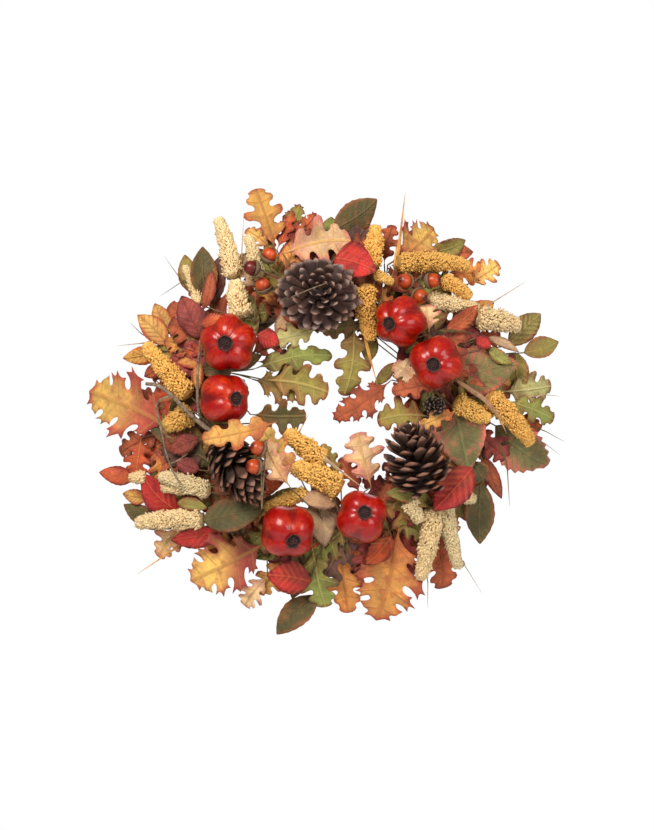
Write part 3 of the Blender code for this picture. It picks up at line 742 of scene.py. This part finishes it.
def blade(shape, palette, spots, rng):
    """A narrow blade or hair that tapers to a point. Spots: its route, its width and depth."""
    *route, width, y = spots
    points = [domed(x, z, y) for x, z in zip(route[::2], route[1::2], strict=True)]
    heart = vary(PALETTES[palette][0], rng)
    rows = 12
    top, place = np.zeros((2, rows, 3, 3))
    for i in range(rows):
        u = i / (rows - 1)
        spot = u * (len(points) - 1)
        k = min(int(spot), len(points) - 2)
        run = points[k + 1] - points[k]
        taper = (0.55 + 0.45 * sin(pi * min(1, u * 1.6))) * (1 - u**3)
        reach = (width / 2 * taper + BLADE_LEAST) * MM
        for j, v in enumerate((-1, 0, 1)):
            top[i, j] = points[k] + run * (spot - k) + unit(np.cross(FRONT, run)) * reach * v
            top[i, j] += FRONT * abs(v) * reach * 0.35
            place[i, j] = (u, v, abs(v) * 0.5)
    under = top - FRONT * BLADE_THICKNESS * MM
    shape.sheet(top, under, "oak", place, heart=heart, rim=PALETTES[palette][1])


# ---- seed heads -----------------------------------------------------------------------

# For gold and cream: the dark and light of the grains, their size, and how far they stand out
SEED_LOOKS = {
    "gold": (((204, 146, 68), (238, 186, 98)), 2.5, 0.0),
    "cream": (((200, 166, 114), (238, 212, 162)), 2.4, 0.25),
}
GOLDEN_ANGLE = 2.39996
CORE_SHORT = 4.0

# One grain: an eight-sided crumb
BEAD = np.array([(1, 0, 0), (0, 1, 0), (-1, 0, 0), (0, -1, 0), (0, 0, 1.0), (0, 0, -1.0)])
BEAD_FACES = [(i, (i + 1) % 4, 4) for i in range(4)] + [((i + 1) % 4, i, 5) for i in range(4)]


def seed_head(shape, look, spots, rng):
    """A spike of grains in a spiral round a tapering core. Spots: base and tip, width, depth,
    and how far the tip comes forward of the dome."""
    tones, grain, fluff = SEED_LOOKS[look]
    base_x, base_z, tip_x, tip_z, width, y, lift = spots
    start, end = domed(base_x, base_z, y), domed(tip_x, tip_z, y - lift)
    length = np.linalg.norm(end - start)
    along = unit(end - start)
    side = unit(np.cross(along, (0.0, 1.0, 0.2)))
    up = np.cross(along, side)
    radius = (width - grain) / 2 * MM
    number = int(1.7 * pi * width * length / MM / grain**2)
    sway = rng.uniform(-0.05, 0.05) * length
    lumps = length / MM / 4.0
    points, faces, marks = [], [], []
    for k in range(number):
        t = (k + 0.5) / number
        turn = k * GOLDEN_ANGLE + rng.uniform(-0.25, 0.25)
        taper = min(1.0, (t / 0.09) ** 0.5) * (1.0 - 0.5 * t**2.4) * (1 + rng.uniform(-0.14, 0.13))
        taper *= 1 + 0.07 * sin(lumps * t + 2 * turn) + 0.05 * sin(1.7 * lumps * t - 3 * turn)
        taper *= min(1.0, (1.03 - t) / 0.10) ** 0.5
        taper *= rng.uniform(1.08, 1.28) if k % 9 == 0 else 1.0
        out = cos(turn) * side + sin(turn) * up
        centre = start + along * t * length + out * radius * taper + side * sway * 4 * t * (1 - t)
        point = unit(out + along * (0.5 + fluff) + rng.uniform(-0.3, 0.3) * side)
        a = unit(np.cross(point, along + 0.1 * up))
        size = grain * 0.72 * MM * rng.uniform(0.8, 1.25)
        local = BEAD * (size, size, size * (1.15 + 1.5 * fluff) * rng.uniform(0.8, 1.4))
        faces.extend([tuple(i + len(BEAD) * k for i in face) for face in BEAD_FACES])
        points.append(centre + local @ np.array((a, np.cross(point, a), point)))
        # each grain: a random share for its own tone, plus painted shade darkening its inner end
        # and lightening its outer tip
        marks.append(marked((len(BEAD),), rng.uniform(0.0, 1.0) * 0.6 + 0.3 + 0.3 * BEAD[:, 2]))
    dark, light = (vary(c, rng, 0.05) for c in tones)
    shape.add(np.concatenate(points), faces, "seed", np.concatenate(marks), heart=dark, rim=light)
    core = [start, (start + end) / 2 + side * sway, end - along * CORE_SHORT * MM]
    wide = radius / MM
    # the core is painted at eight tenths of the grains' dark tone: painted shade in the pits
    # between the grains
    shape.tube(core, (wide * 0.92, wide * 0.45), "seed", 8, 1, heart=tuple(c * 0.8 for c in dark))


# ---- fruit, cones and acorns ----------------------------------------------------------

FRUIT_BACK = -39.2
FIVE_LOBED = (1, 3)
CROWN_WALL = 1.0


def turned(direction):
    """Rows across, up and along a direction."""
    along = unit(direction)
    side = unit(np.cross((0.11, 0.23, 1.0), along))
    return np.array((side, np.cross(along, side), along))


def pomegranate(number, x, z, radius, height, facing, forward, rng):
    """A lobed lacquered fruit with creases that run from its crown, and its dried crown."""
    axes = turned(facing)
    centre = at(x, z, FRUIT_BACK - max(radius, height) - forward)
    rows, cols = 40, 80
    wide, oval, _ = (rng.uniform(-0.03, 0.03) for _ in range(3))
    start = rng.uniform(0, 6.28)
    lobes = 5 if number in FIVE_LOBED else 4
    polar = pi * (0.03 + 0.94 * np.arange(rows)[:, None] / (rows - 1))
    turn = circle(cols)
    out = np.sin(polar)
    crease = out**0.7 * (0.5 - 0.5 * np.cos(lobes * turn + start)) ** 1.6
    size = 1.02 - 0.13 * crease
    size *= 1.0 - 0.15 * np.exp(-((polar / 0.4) ** 2)) - 0.08 * np.exp(-(((pi - polar) / 0.3) ** 2))
    size *= 1.0 + wide * np.sin(turn + start) * out + oval * np.cos(2 * turn) * out
    local = spun(turn, radius * out, height * np.cos(polar)) * size[..., None]
    # the third mark, how deep in a crease each point lies, drives the painted shade in the creases
    marks = np.broadcast_arrays(np.cos(turn), np.sin(turn) + polar * 0.7, crease**2.5)
    shape = Shape()
    shape.lofted(centre + local * MM @ axes, "fruit", np.stack(marks, -1))
    shape.stalk(x, z, centre - axes[2] * height * 0.5 * MM)
    shape.finish(f"fruit_{number}", nodes=[f"pomegranate_{number}"], slot="glossy_fruit")
    crown(number, centre, axes, height, radius, rng)


def crown(number, centre, axes, height, radius, rng):
    """A ragged ring of six dried sepals round a dark heart."""
    shape = Shape()
    floor, rim = 0.84 * height, 0.24 * radius
    phase = rng.uniform(0, 6.28)
    turn = circle(60)
    tooth = 0.55 + 0.45 * np.abs(np.cos(3 * turn + phase)) ** 0.8
    outer, inner = [], []
    for level in (0.0, 0.35, 0.7, 1.0):
        rise = floor + level * tooth * (5.4 + np.sin(3 * turn + phase))
        flare = rim * (0.92 + 0.28 * level**2 * tooth)
        outer.append(spun(turn, flare, rise))
        inner.append(spun(turn, flare - CROWN_WALL, rise))
    rings = np.array([*outer, *inner[:0:-1], spun(turn, 0.5 * rim, floor + 3.0)])
    marks = marked(rings.shape[:2], 0.0)
    marks[2:5, :, 2] = 0.9
    shape.lofted(centre + rings * MM @ axes, "crown", marks, heart=(40, 20, 18), rim=(84, 54, 46))
    for k in range(9):
        low = spun(2.4 * k, 0.16 * rim * sqrt(k), floor + 2.6)
        high = low * (1.15, 1.15, 1.0) + (0, 0, 2.6)
        shape.tube([centre + low * MM @ axes, centre + high * MM @ axes], (0.5, 0.3), "crown", 5,
                   heart=(112, 82, 66))
    shape.finish(f"crown_{number}", nodes=[f"pomegranate_crown_{number}"], slot="dried_crown")


# One scale of a cone: places along it, and its share of the width and thickness there
SCALE = ((0.0, 0.35, 0.4), (0.35, 0.6, 0.5), (0.7, 0.95, 0.8), (0.85, 1.0, 1.1), (0.97, 0.6, 0.9),
         (1.06, 0.1, 0.3))
CORNERS = circle(8)[:, None]
RIDGE = np.where(np.arange(8) == 2, 1.35, 1.0)[:, None]
SCALE_MARKS = marked((len(SCALE), len(CORNERS)),
                     [[max(-0.3, (s - 0.84) * 5.5)] for s, _, _ in SCALE])


def pinecone(name, node, place, axis, length, radius, opening, tones, rng, count, squash,
             wide_share, thick_share, wild):
    """Woody scales in a spiral. opening gives how far they stand out at the stalk and the tip."""
    axes = turned(axis)
    axes[1] *= squash
    centre = at(*place)
    shape = Shape()
    dark, light = tones
    core = [centre + axes[2] * s * length / 2 * MM for s in (-0.8, 0.0, 0.7)]
    # the core is painted at six tenths of the scales' dark tone: painted shade in the gaps between
    # the scales
    shape.tube(core, (radius * 0.42, radius * 0.16), "cone", 10, 1,
               heart=tuple(c * 0.6 for c in dark))
    for k in range(count):
        t = (k + 0.5) / count
        turn = k * GOLDEN_ANGLE + rng.uniform(-0.06, 0.06)
        out = cos(turn) * axes[0] + sin(turn) * axes[1]
        side = -sin(turn) * axes[0] + cos(turn) * axes[1]
        full = radius * max(0.05, sin(pi * (0.20 + 0.76 * t))) ** 0.75
        open_by = opening[0] + (opening[1] - opening[0]) * t**1.2
        lean = radians(open_by + rng.uniform(-wild, wild))
        along = cos(lean) * out + sin(lean) * axes[2]
        up = unit(np.cross(side, along)) * -1.0
        inner = 0.26 * full
        reach = (full - inner) / max(0.45, cos(lean)) * rng.uniform(0.90, 1.06)
        foot = axes[2] * ((t - 0.5) * length * 0.86 - reach * sin(lean) * 0.35) + out * inner
        width = wide_share * (0.35 * radius + 0.65 * full) * rng.uniform(0.85, 1.1)
        across = side * width * np.cos(CORNERS)
        over = up * thick_share * width * RIDGE * np.sin(CORNERS)
        rings = []
        for s, wide, deep in SCALE:
            middle = foot + (along * s + up * 0.16 * s * s) * reach
            rings.append(centre + (middle + across * wide + over * deep) * MM)
        shape.lofted(rings, "cone", SCALE_MARKS, heart=vary(dark, rng, 0.14),
                     rim=vary(light, rng, 0.12))
    shape.stalk(place[0], place[1], centre)
    shape.finish(name, nodes=[node] if node else [], slot="pinecone")


ACORN = 9.6


def lathe(shape, place, axes, profile, material, bumps=0.0, **colours):
    """A turned solid from (distance along, radius, mark) rows, with a lattice of bumps."""
    cols, rows = 28, len(profile)
    along, radius, mark = np.array(profile).T[..., None]
    turn = circle(cols)
    size = radius * (1.0 + bumps * np.cos(cols / 2 * turn + pi * (np.arange(rows) % 2)[:, None]))
    shape.lofted(place + spun(turn, size, along) * MM @ axes, material, marked((rows, cols), mark),
                 **colours)


def acorn(number, caps, place, facing, body, rng, red):
    """A shiny nut in a scaly cap; the cap is added to the cluster's shape."""
    axes = turned(facing)
    r = ACORN
    # marks: painted shade under the cap, a lighter band past the widest part as painted highlight,
    # darker towards the tip
    nut = [(0.0, 0.93 * r, 0.0)]
    for k in range(13):
        a = pi / 2 * k / 12
        girth = max(0.10, cos(a) ** 0.8) * r
        nut.append((0.1 * r + 1.28 * r * sin(a), girth, abs(k / 12 - 0.4) * 1.7))
    nut.append((1.52 * r, 0.035 * r, 1.0))
    shape = Shape()
    # heart is the colour of the painted highlight band, rim that of the painted shade by the cap
    # and of the dark tip
    heart, rim = ((112, 28, 18), (60, 16, 12)) if red else ((184, 72, 26), (84, 20, 12))
    lathe(shape, place, axes, nut, "nut", heart=vary(heart, rng), rim=rim)
    shape.finish(f"nut_{number}", body, [f"acorn_nut_{number}"], "acorn_nut")
    cap = [(-0.95 * r, 0.14 * r, 0.0)]
    for k in range(11):
        a = pi / 2 * (0.15 + 0.85 * k / 10)
        cap.append((-0.86 * r * cos(a) - 0.03 * r, 1.1 * r * sin(a), 0.4 * (k % 2)))
    cap.append((-0.02 * r, 1.02 * r, 0.0))
    lathe(caps, place, axes, cap, "cap", 0.035, heart=(116, 94, 68), rim=(168, 146, 114))


# ---- the ring -------------------------------------------------------------------------

VINE_RADIUS = 6.2
LAY_RADIUS = 1.62 * VINE_RADIUS
VINE_TURNS = 5


def make_ring():
    rng = random.Random(11)
    steps, sides = 260, 12
    turn = circle(sides)[:, None]
    for k in range(4):
        one, two, three, _ = (rng.uniform(0, 6.28) for _ in range(4))
        rings = []
        for angle in circle(steps):
            lay = VINE_TURNS * angle + 2 * pi * k / 4
            out = np.array((cos(angle), 0.0, sin(angle)))
            middle = out * (RING_RADIUS + LAY_RADIUS * cos(lay)) - FRONT * LAY_RADIUS * sin(lay)
            size = 1 + 0.035 * sin(23 * angle + one) + 0.04 * np.cos(3 * turn + 9 * angle + two)
            size = VINE_RADIUS * 0.97 * (size + 0.03 * np.cos(5 * turn - 14 * angle + three))
            skin = (out * np.cos(turn) - FRONT * np.sin(turn)) * size
            rings.append(CENTRE + (middle + skin) * MM)
        shape = Shape()
        shape.add(np.concatenate(rings), grid_faces(steps, sides, True, True), "vine")
        shape.finish(f"vine_{k + 1}", nodes=[f"vine_strand_{k + 1}"], slot="dried_vine")
    for node in ("frame_hoop", "binding_wire_1", "binding_wire_2", "hanger_eye", "hanger_loop"):
        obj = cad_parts[node]
        obj.data.materials.clear()
        obj.data.materials.append(MATERIALS["wire"])


# ---- the layout -----------------------------------------------------------------------

# Fruit as on the ring: number, x, z, radius, half height, facing, how far forward
FRUIT = [
    (1, -116, 84, 36.0, 32.0, (-0.12, -1.0, -0.05), 0.0),
    (2, -122, 14, 32.5, 32.5, (0.60, -1.0, 0.0), 2.0),
    (3, 98, 110, 32.5, 32.5, (-0.55, -1.0, -0.12), 0.0),
    (4, 143, 60, 33.5, 31.0, (-0.22, -1.0, -0.15), 16.0),
    (5, -43, -151, 35.0, 32.0, (0.28, -1.0, -0.42), 0.0),
    (6, 50, -133, 33.0, 31.0, (0.10, -1.0, 0.22), 0.0),
]


def picks_of(text):
    """The picks of a table: each has a line with its name and numbers, then its own lines,
    which start with a space."""
    picks = []
    for line, (name, *rest) in zip(text.strip().splitlines(), rows_of(text), strict=True):
        if line.startswith(" "):
            picks[-1][2].append((name, rest))
        else:
            picks.append((name, rest, []))
    return picks


# Each pick: node, direction of its root, depth of its knot. Each leaf: kind, colours, base, tip,
# width, depth, lift, roll. Each blade: colours, route, width, depth.
LEAF_PICKS = picks_of("""
oak_pick_top_left -42 165 -24
 round amber -60 206 -86 286 58 -26 4 12
 round redorange -58 206 -41 259 28 -24 0 -18
 oak rust -50 212 -6 255 34 -22 -4 10
 round amber -66 208 -97 232 28 -30 10 20
 round burgundy -44 196 -20 240 34 -18 0 -10
 oak olive -46 204 -28 268 40 -20 0 6
 round olive -72 200 -62 244 30 -18 0 0
oak_pick_top -16 180 -32
 round peach -50 199 36 217 68 -48 8 -6
 broad dark 15 232 72 271 42 -28 4 15
 heart red 16 192 68 174 50 -62 12 -8
 broad green 8 216 12 250 26 -22 0 0
 broad purple 30 205 62 246 30 -20 0 10
 round rust 20 200 66 212 34 -26 6 0
oak_pick_top_right 112 165 -22
 oak gold 84 186 145 236 76 -26 4 8
 broad olive 137 203 186 219 29 -24 0 20
 round orange 160 178 210 180 40 -26 2 -10
 round yellow 188 162 228 189 38 -26 6 6
 round peach 135 98 131 133 44 -62 6 5
 broad burgundy 112 190 120 236 26 -20 0 0
 round rust 80 188 92 240 34 -18 0 0
 broad rust 150 190 196 206 28 -18 0 -12
 round olive 128 172 176 162 36 -26 4 0
 blade amber 92 180 99 215 107 281 6 -40
 blade dark 148 99 174 100 202 94 4 -64
magnolia_pick_right 190 95 -28
 broad redorange 158 101 200 132 25 -48 8 25
 broad olive 240 83 284 125 34 -24 0 10
 broad olive 260 74 305 88 30 -28 6 -20
 broad olive 250 74 254 22 33 -22 0 12
 broad tan 213 93 252 74 13 -40 4 0
 broad green 213 80 242 59 17 -42 4 0
 broad red 196 92 215 80 18 -44 4 0
 round rust 178 92 232 96 44 -20 0 0
 round burgundy 206 70 262 52 40 -16 0 10
 broad amber 170 112 222 140 30 -18 0 -8
 blade tan 180 118 215 136 263 166 2.4 -30
maple_pick_right 165 30 -34
 heart bronze 172 40 252 60 66 -38 6 -12
 toothed bronze 222 -20 292 -72 62 -30 6 10
 heart bronze 168 0 186 -78 66 -42 6 6
 broad rust 180 20 240 30 40 -26 0 0
 round burgundy 192 -20 238 -62 44 -24 0 10
 round orange 172 14 222 -4 40 -22 0 0
 blade dark 224 -40 236 -67 240 -123 2.6 -44
oak_pick_right 160 12 -25
 round pale 232 24 298 31 48 -24 2 8
 round green 238 12 299 -12 42 -28 6 -10
 round rust 236 4 284 -26 36 -20 0 6
 round amber 214 38 262 26 40 -18 0 0
 blade dark 226 -10 286 -26 314 -41 1.6 -26
 blade tan 240 -20 286 -42 308 -58 1.6 -26
 blade tan 250 14 288 20 307 18 1.6 -26
magnolia_pick_lower_right 150 -92 -25
 broad red 190 -73 140 -126 46 -66 6 14
 broad dark 204 -92 203 -172 40 -28 6 -8
 broad rust 206 -58 232 -115 20 -24 0 0
 broad olive 168 -112 185 -138 22 -28 0 0
 broad dark 190 -66 206 -92 30 -40 4 10
 broad olive 140 -120 80 -104 28 -50 4 22
 broad burgundy 176 -92 192 -146 30 -18 0 0
 round orange 160 -80 214 -96 40 -20 0 0
oak_pick_bottom 88 -150 -31
 oak orange 98 -146 68 -272 104 -38 6 6
 round rust 144 -152 158 -232 60 -26 0 -10
 round burgundy 96 -142 112 -214 50 -26 0 8
 round burgundy 60 -165 30 -222 44 -24 0 0
 broad olive 118 -140 150 -190 30 -22 0 0
 broad redorange 88 -160 56 -196 30 -40 4 12
 blade tan 126 -160 136 -220 136 -255 1.8 -30
 blade tan 150 -160 180 -194 206 -236 1.8 -30
 blade tan 140 -122 130 -140 122 -160 4 -56
oak_pick_inner_bottom 4 -142 -37
 round peach 62 -97 44 -28 58 -56 12 6
 round olive 23 -84 0 -43 25 -48 4 0
 round rust 48 -106 24 -60 32 -46 2 0
 round yellow -30 -80 -78 -18 40 -60 4 0
 round peach -40 -96 -72 -38 50 -84 8 -10
 broad dark -5 -238 -60 -288 36 -34 4 14
 round green -13 -172 4 -254 52 -38 4 6
 broad tan 4 -100 4 -173 40 -42 0 10
 broad red -14 -218 -70 -209 44 -50 8 -10
 round orange 24 -165 34 -262 56 -26 0 0
 broad dark -8 -176 -40 -244 34 -26 0 10
 broad tan 20 -118 -28 -110 26 -52 6 20
 blade tan -30 -38 10 -66 54 -100 6 -64
 blade tan -40 -40 -30 -30 -16 -4 3 -50
oak_pick_bottom_left -82 -142 -31
 oak gold -70 -168 -168 -218 96 -40 6 -6
 round peach -70 -212 -100 -252 40 -32 0 10
 broad red -126 -154 -193 -166 30 -40 6 -16
 round burgundy -84 -160 -128 -190 44 -26 0 0
 round amber -50 -190 -84 -236 44 -26 0 0
 broad rust -90 -150 -150 -182 34 -24 0 8
magnolia_pick_lower_left -138 -98 -22
 broad dark -214 -154 -256 -121 26 -24 2 12
 broad red -182 -131 -231 -82 38 -36 8 -10
 broad redorange -242 -88 -288 -80 25 -26 4 12
 broad dark -150 -140 -74 -124 44 -62 6 -14
 broad olive -184 -118 -145 -124 18 -52 4 0
 broad amber -222 -112 -258 -108 20 -20 0 0
 round olive -150 -96 -208 -116 44 -18 0 0
 broad rust -168 -120 -222 -152 34 -16 0 0
 broad burgundy -156 -76 -186 -64 22 -46 2 0
 round peach -168 -138 -212 -190 44 -22 2 0
 blade amber -150 -160 -186 -176 -239 -212 5 -30
oak_pick_left -160 -22 -28
 oak gold -190 -26 -303 24 104 -30 6 -8
 round redorange -232 -34 -240 -86 44 -26 4 10
 round orange -212 -44 -200 -92 42 -28 4 -10
 round rust -204 -30 -262 -56 40 -22 2 0
 broad burgundy -156 -36 -194 -54 24 -44 4 0
 round rust -176 6 -236 20 44 -20 0 0
 round redorange -180 -30 -240 -62 48 -18 0 8
 broad orange -156 60 -157 24 16 -44 4 0
 round amber -54 -14 -149 -36 44 -96 2 12
magnolia_pick_upper_left -150 85 -22
 broad amber -198 84 -237 122 31 -28 4 10
 broad amber -206 76 -256 66 25 -30 4 -14
 broad rust -206 56 -228 43 18 -30 0 0
 broad amber -196 98 -216 138 26 -24 0 0
 broad burgundy -155 91 -181 146 37 -38 6 -12
 broad dark -146 140 -153 209 35 -36 6 10
 broad purple -138 136 -132 199 29 -30 0 -10
 broad rust -151 128 -140 178 17 -44 4 0
 broad redorange -150 106 -120 114 19 -92 4 0
 broad olive -166 150 -178 202 26 -20 0 0
 round olive -160 60 -204 84 42 -18 0 0
 round rust -150 100 -198 136 44 -18 0 6
 broad dark -156 52 -112 51 22 -42 0 0
 broad olive -188 98 -158 62 26 -32 2 10
 blade tan -190 90 -232 86 -264 83 1.8 -26
 blade dark -180 80 -230 96 -248 113 1.8 -26
 blade dark -150 118 -176 160 -204 199 1.8 -26
 blade dark -150 160 -176 168 -208 147 1.8 -26
 blade amber -112 130 -104 170 -100 255 3 -40
oak_pick_inner_left -140 52 -37
 round olive -72 38 8 22 60 -44 4 8
 round green -86 52 12 72 42 -40 4 -16
 round dark -90 -6 -20 -8 48 -50 4 14
 oak olive -90 40 -14 30 62 -36 2 -10
 round pale -4 104 -62 88 40 -44 4 0
 broad red -82 96 -54 84 26 -46 4 0
 round rust -92 70 -38 98 40 -34 4 0
 round olive -84 62 -22 66 34 -34 0 0
oak_pick_inner_right 152 34 -37
 oak rust 88 38 14 -12 52 -42 4 10
 round olive 40 108 30 18 52 -44 4 -10
 round peach 138 22 90 58 46 -56 4 6
 round rust 152 36 88 24 36 -60 4 12
 round dark 74 112 0 100 38 -38 4 0
 round olive 136 -8 70 -12 52 -48 4 8
 round amber 172 -2 116 -24 24 -58 4 0
 broad olive 66 96 58 60 22 -36 0 0
 broad olive 92 60 66 30 16 -38 0 0
 blade amber 54 92 61 64 70 32 4 -52
""")

# Each pick: node, direction of its root. Each head: base, tip, width, depth, lift.
SEED_PICKS = picks_of("""
golden_pick_left -160 -2
 head -168 18 -226 84 25 -46 0
 head -166 -2 -199 -21 27 -46 0
golden_pick_top 62 150
 head 62 182 69 235 23 -44 0
 head 56 158 62 88 24 -50 4
golden_pick_top_right 88 160
 head 95 186 187 184 24 -48 6
 head 152 166 189 144 19 -50 0
 head 66 172 90 160 13 -56 4
golden_pick_right
 blade tan 168 38 204 14 222 -6 233 -30 6 -72
 head 168 12 212 -12 24 -54 6
 head 209 18 266 -43 25 -58 6
golden_pick_bottom 24 -140
 head 24 -99 -38 -71 29 -56 4
 head 4 -66 -46 -28 25 -54 2
 head -18 -104 -72 -123 17 -50 2
cream_pick_top_left -95 125
 head -113 168 -133 245 21 -44 0
 head -82 166 -95 222 17 -44 0
 head -100 118 -110 164 25 -48 0
 head -156 134 -175 184 13 -40 0
cream_pick_right 138 110
 head 134 141 199 130 19 -46 0
 head 197 117 253 107 26 -46 0
cream_pick_bottom_right
 head 143 -122 125 -215 23 -52 4
 head 157 -118 174 -201 18 -50 2
 head 109 -114 124 -141 19 -54 0
 head 164 -102 194 -114 17 -46 0
cream_pick_lower_left -110 -146
 head -150 -139 -237 -144 23 -52 6
 head -142 -104 -206 -84 21 -50 4
 head -150 -94 -204 -98 18 -46 2
 head -226 -86 -246 -86 15 -40 0
""")
# The picks that move: body, and the layout place of their bend
SPRAYS = {
    "golden_pick_right": ("golden_seed_spray_right", (164, 14)),
    "cream_pick_bottom_right": ("cream_seed_spray_bottom_right", (133, -118)),
}

# Acorn clusters: name, body, bend, depth, then (x, z, facing, red) of each cap's face
ACORNS = [
    ("top_left", "acorn_cluster_top_left", (-46, 165), -64.0,
     [(-68, 193, (0.45, -0.35, 0.8), 0), (-86, 179, (-0.8, -0.3, 0.1), 1),
      (-73, 154, (-0.35, -0.4, 0.9), 0)]),
    ("top_right", "acorn_cluster_top_right", (126, 170), -66.0,
     [(106, 162, (-0.6, -0.8, 0.1), 0), (137, 163, (0.9, -0.4, 0.1), 0),
      (122, 144, (0.5, -0.7, -0.3), 0)]),
    ("left", BODY, None, -108.0,
     [(-76, -48, (-0.8, -0.5, 0.3), 0), (-81, -70, (-0.8, -0.5, 0.1), 0)]),
]
LEFT_ROOT = (-60, -98)

# Bare vines: route as x, z and depth, radii at its ends, sides, rounds of smoothing
VINE_ROOT = (-130, -25)
VINE_DEPTH = -62.0
VINES = [
    ([(-166, -6, -62), (-188, 18, -62), (-206, 32, -58), (-222, 33, -54)], (3.2, 2.2), 10, 2),
    ([(-190, 18, -62), (-211, 10, -59), (-203, -22, -57), (-197, -54, -57), (-187, -80, -57),
      (-177, -94, -56)], (1.7, 0.8), 8, 2),
    ([(-191, -68, -57), (-182, -64, -58), (-169, -55, -60)], (1.1, 0.6), 7, 1),
    ([(-155, -10, -66), (-157, 40, -66), (-153, 90, -52)], (2.4, 1.5), 8, 2),
    ([(-43, 137, -96), (-20, 146, -118), (5, 156, -112)], (1.1, 0.5), 7, 2),
]
# The vines that start at the ring, and how deep
ROOTED = {0: VINE_DEPTH, 3: -30}


def make_leaf_picks():
    for order, (node, (*root, depth), rows) in enumerate(LEAF_PICKS):
        rng = random.Random(100 + order)
        shape = Shape()
        leaves = [spots for kind, (_, *spots) in rows if kind != "blade"]
        stems(shape, root, depth, [(x, z, y) for x, z, _, _, _, y, _, _ in leaves], rng)
        for kind, (palette, *spots) in rows:
            if kind == "blade":
                blade(shape, palette, spots, rng)
            else:
                leaf(shape, kind, palette, spots, rng)
        filler(shape, root, rng)
        slot = "oak_leaf" if node.startswith("oak") else "broad_leaf"
        shape.finish("leaves_" + node, nodes=[node], slot=slot)


def make_seed_picks():
    for order, (node, root, rows) in enumerate(SEED_PICKS):
        rng = random.Random(300 + order)
        shape = Shape()
        look = "gold" if node.startswith("golden") else "cream"
        body, bend = SPRAYS.get(node, (BODY, None))
        for kind, spots in rows:
            if kind == "blade":
                blade(shape, spots[0], spots[1:], rng)
            else:
                seed_head(shape, look, spots, rng)
        bases = [(x, z, y) for kind, (x, z, *_, y, _) in rows if kind == "head"]
        depth = bases[0][2]
        if bend:
            for base in bases:
                shape.tube([domed(*bend, depth), domed(*base)], STEM_RADIUS, "twig")
        else:
            stems(shape, root, depth, bases, rng)
        slot = "golden_seed" if look == "gold" else "cream_seed"
        shape.finish("seeds_" + node, body, [node], slot)


def make_acorns():
    number = 0
    for order, (name, body, bend, y, nuts) in enumerate(ACORNS):
        rng = random.Random(500 + order)
        caps = Shape()
        if bend:
            start = domed(*bend, y)
        else:
            start = on_ring(*LEFT_ROOT, y)
            caps.tube([on_ring(*LEFT_ROOT, RING_FACE), start], ROOT_RADIUS, "twig")
        for x, z, facing, red in nuts:
            number += 1
            place = domed(x, z, y)
            acorn(number, caps, place, facing, body, rng, red)
            end = place - unit(facing) * 0.8 * ACORN * MM
            middle = (start + end) / 2 + np.array((0, 3, -2)) * MM
            caps.tube([start, middle, end], 1.0, "twig", smooth=2)
        caps.finish(f"acorn_caps_{name}_detail", body, [f"acorn_caps_{name}"], "acorn_cap")


def make_cones():
    rng = random.Random(700)
    grey = ((84, 60, 52), (150, 120, 106))
    brown = ((70, 47, 36), (142, 98, 78))
    dark = ((52, 42, 36), (112, 92, 76))
    pinecone("cone_top", "pinecone_top", (-6, 145, -74), (0.05, -1.0, 0.10), 60, 53, (-22, 60),
             grey, rng, 96, 0.88, 0.14, 0.2, 20)
    pinecone("cone_left", "pinecone_left", (-107, -72, -72), (0.55, -0.30, -0.72), 98, 42, (6, 60),
             brown, rng, 92, 0.85, 0.22, 0.2, 13)
    pinecone("cone_right", "pinecone_right", (118, -64, -74), (-0.25, -0.35, 0.9), 92, 43, (-6, 58),
             brown, rng, 84, 0.88, 0.23, 0.2, 13)
    pinecone("cone_small", None, (141, 5, -62), (0.2, -1.0, 0.15), 26, 14.5, (0, 55),
             dark, rng, 48, 0.9, 0.24, 0.3, 8)


def make_twigs():
    shape = Shape()
    shape.tube([on_ring(*VINE_ROOT, depth) for depth in (KNOT_DEPTH, VINE_DEPTH)], 1.3, "vine")
    for order, (route, radii, sides, smooth) in enumerate(VINES):
        points = [at(*place) for place in route]
        if order in ROOTED:
            points.insert(0, on_ring(*VINE_ROOT, ROOTED[order]))
        shape.tube(points, radii, "vine", sides, smooth)
    shape.finish("bare_vines", nodes=["bare_vine_left"], slot="dried_vine")


make_camera()
make_stage()
make_ring()
for order, spec in enumerate(FRUIT):
    pomegranate(*spec, random.Random(900 + order))
make_cones()
make_acorns()
make_leaf_picks()
make_seed_picks()
make_twigs()
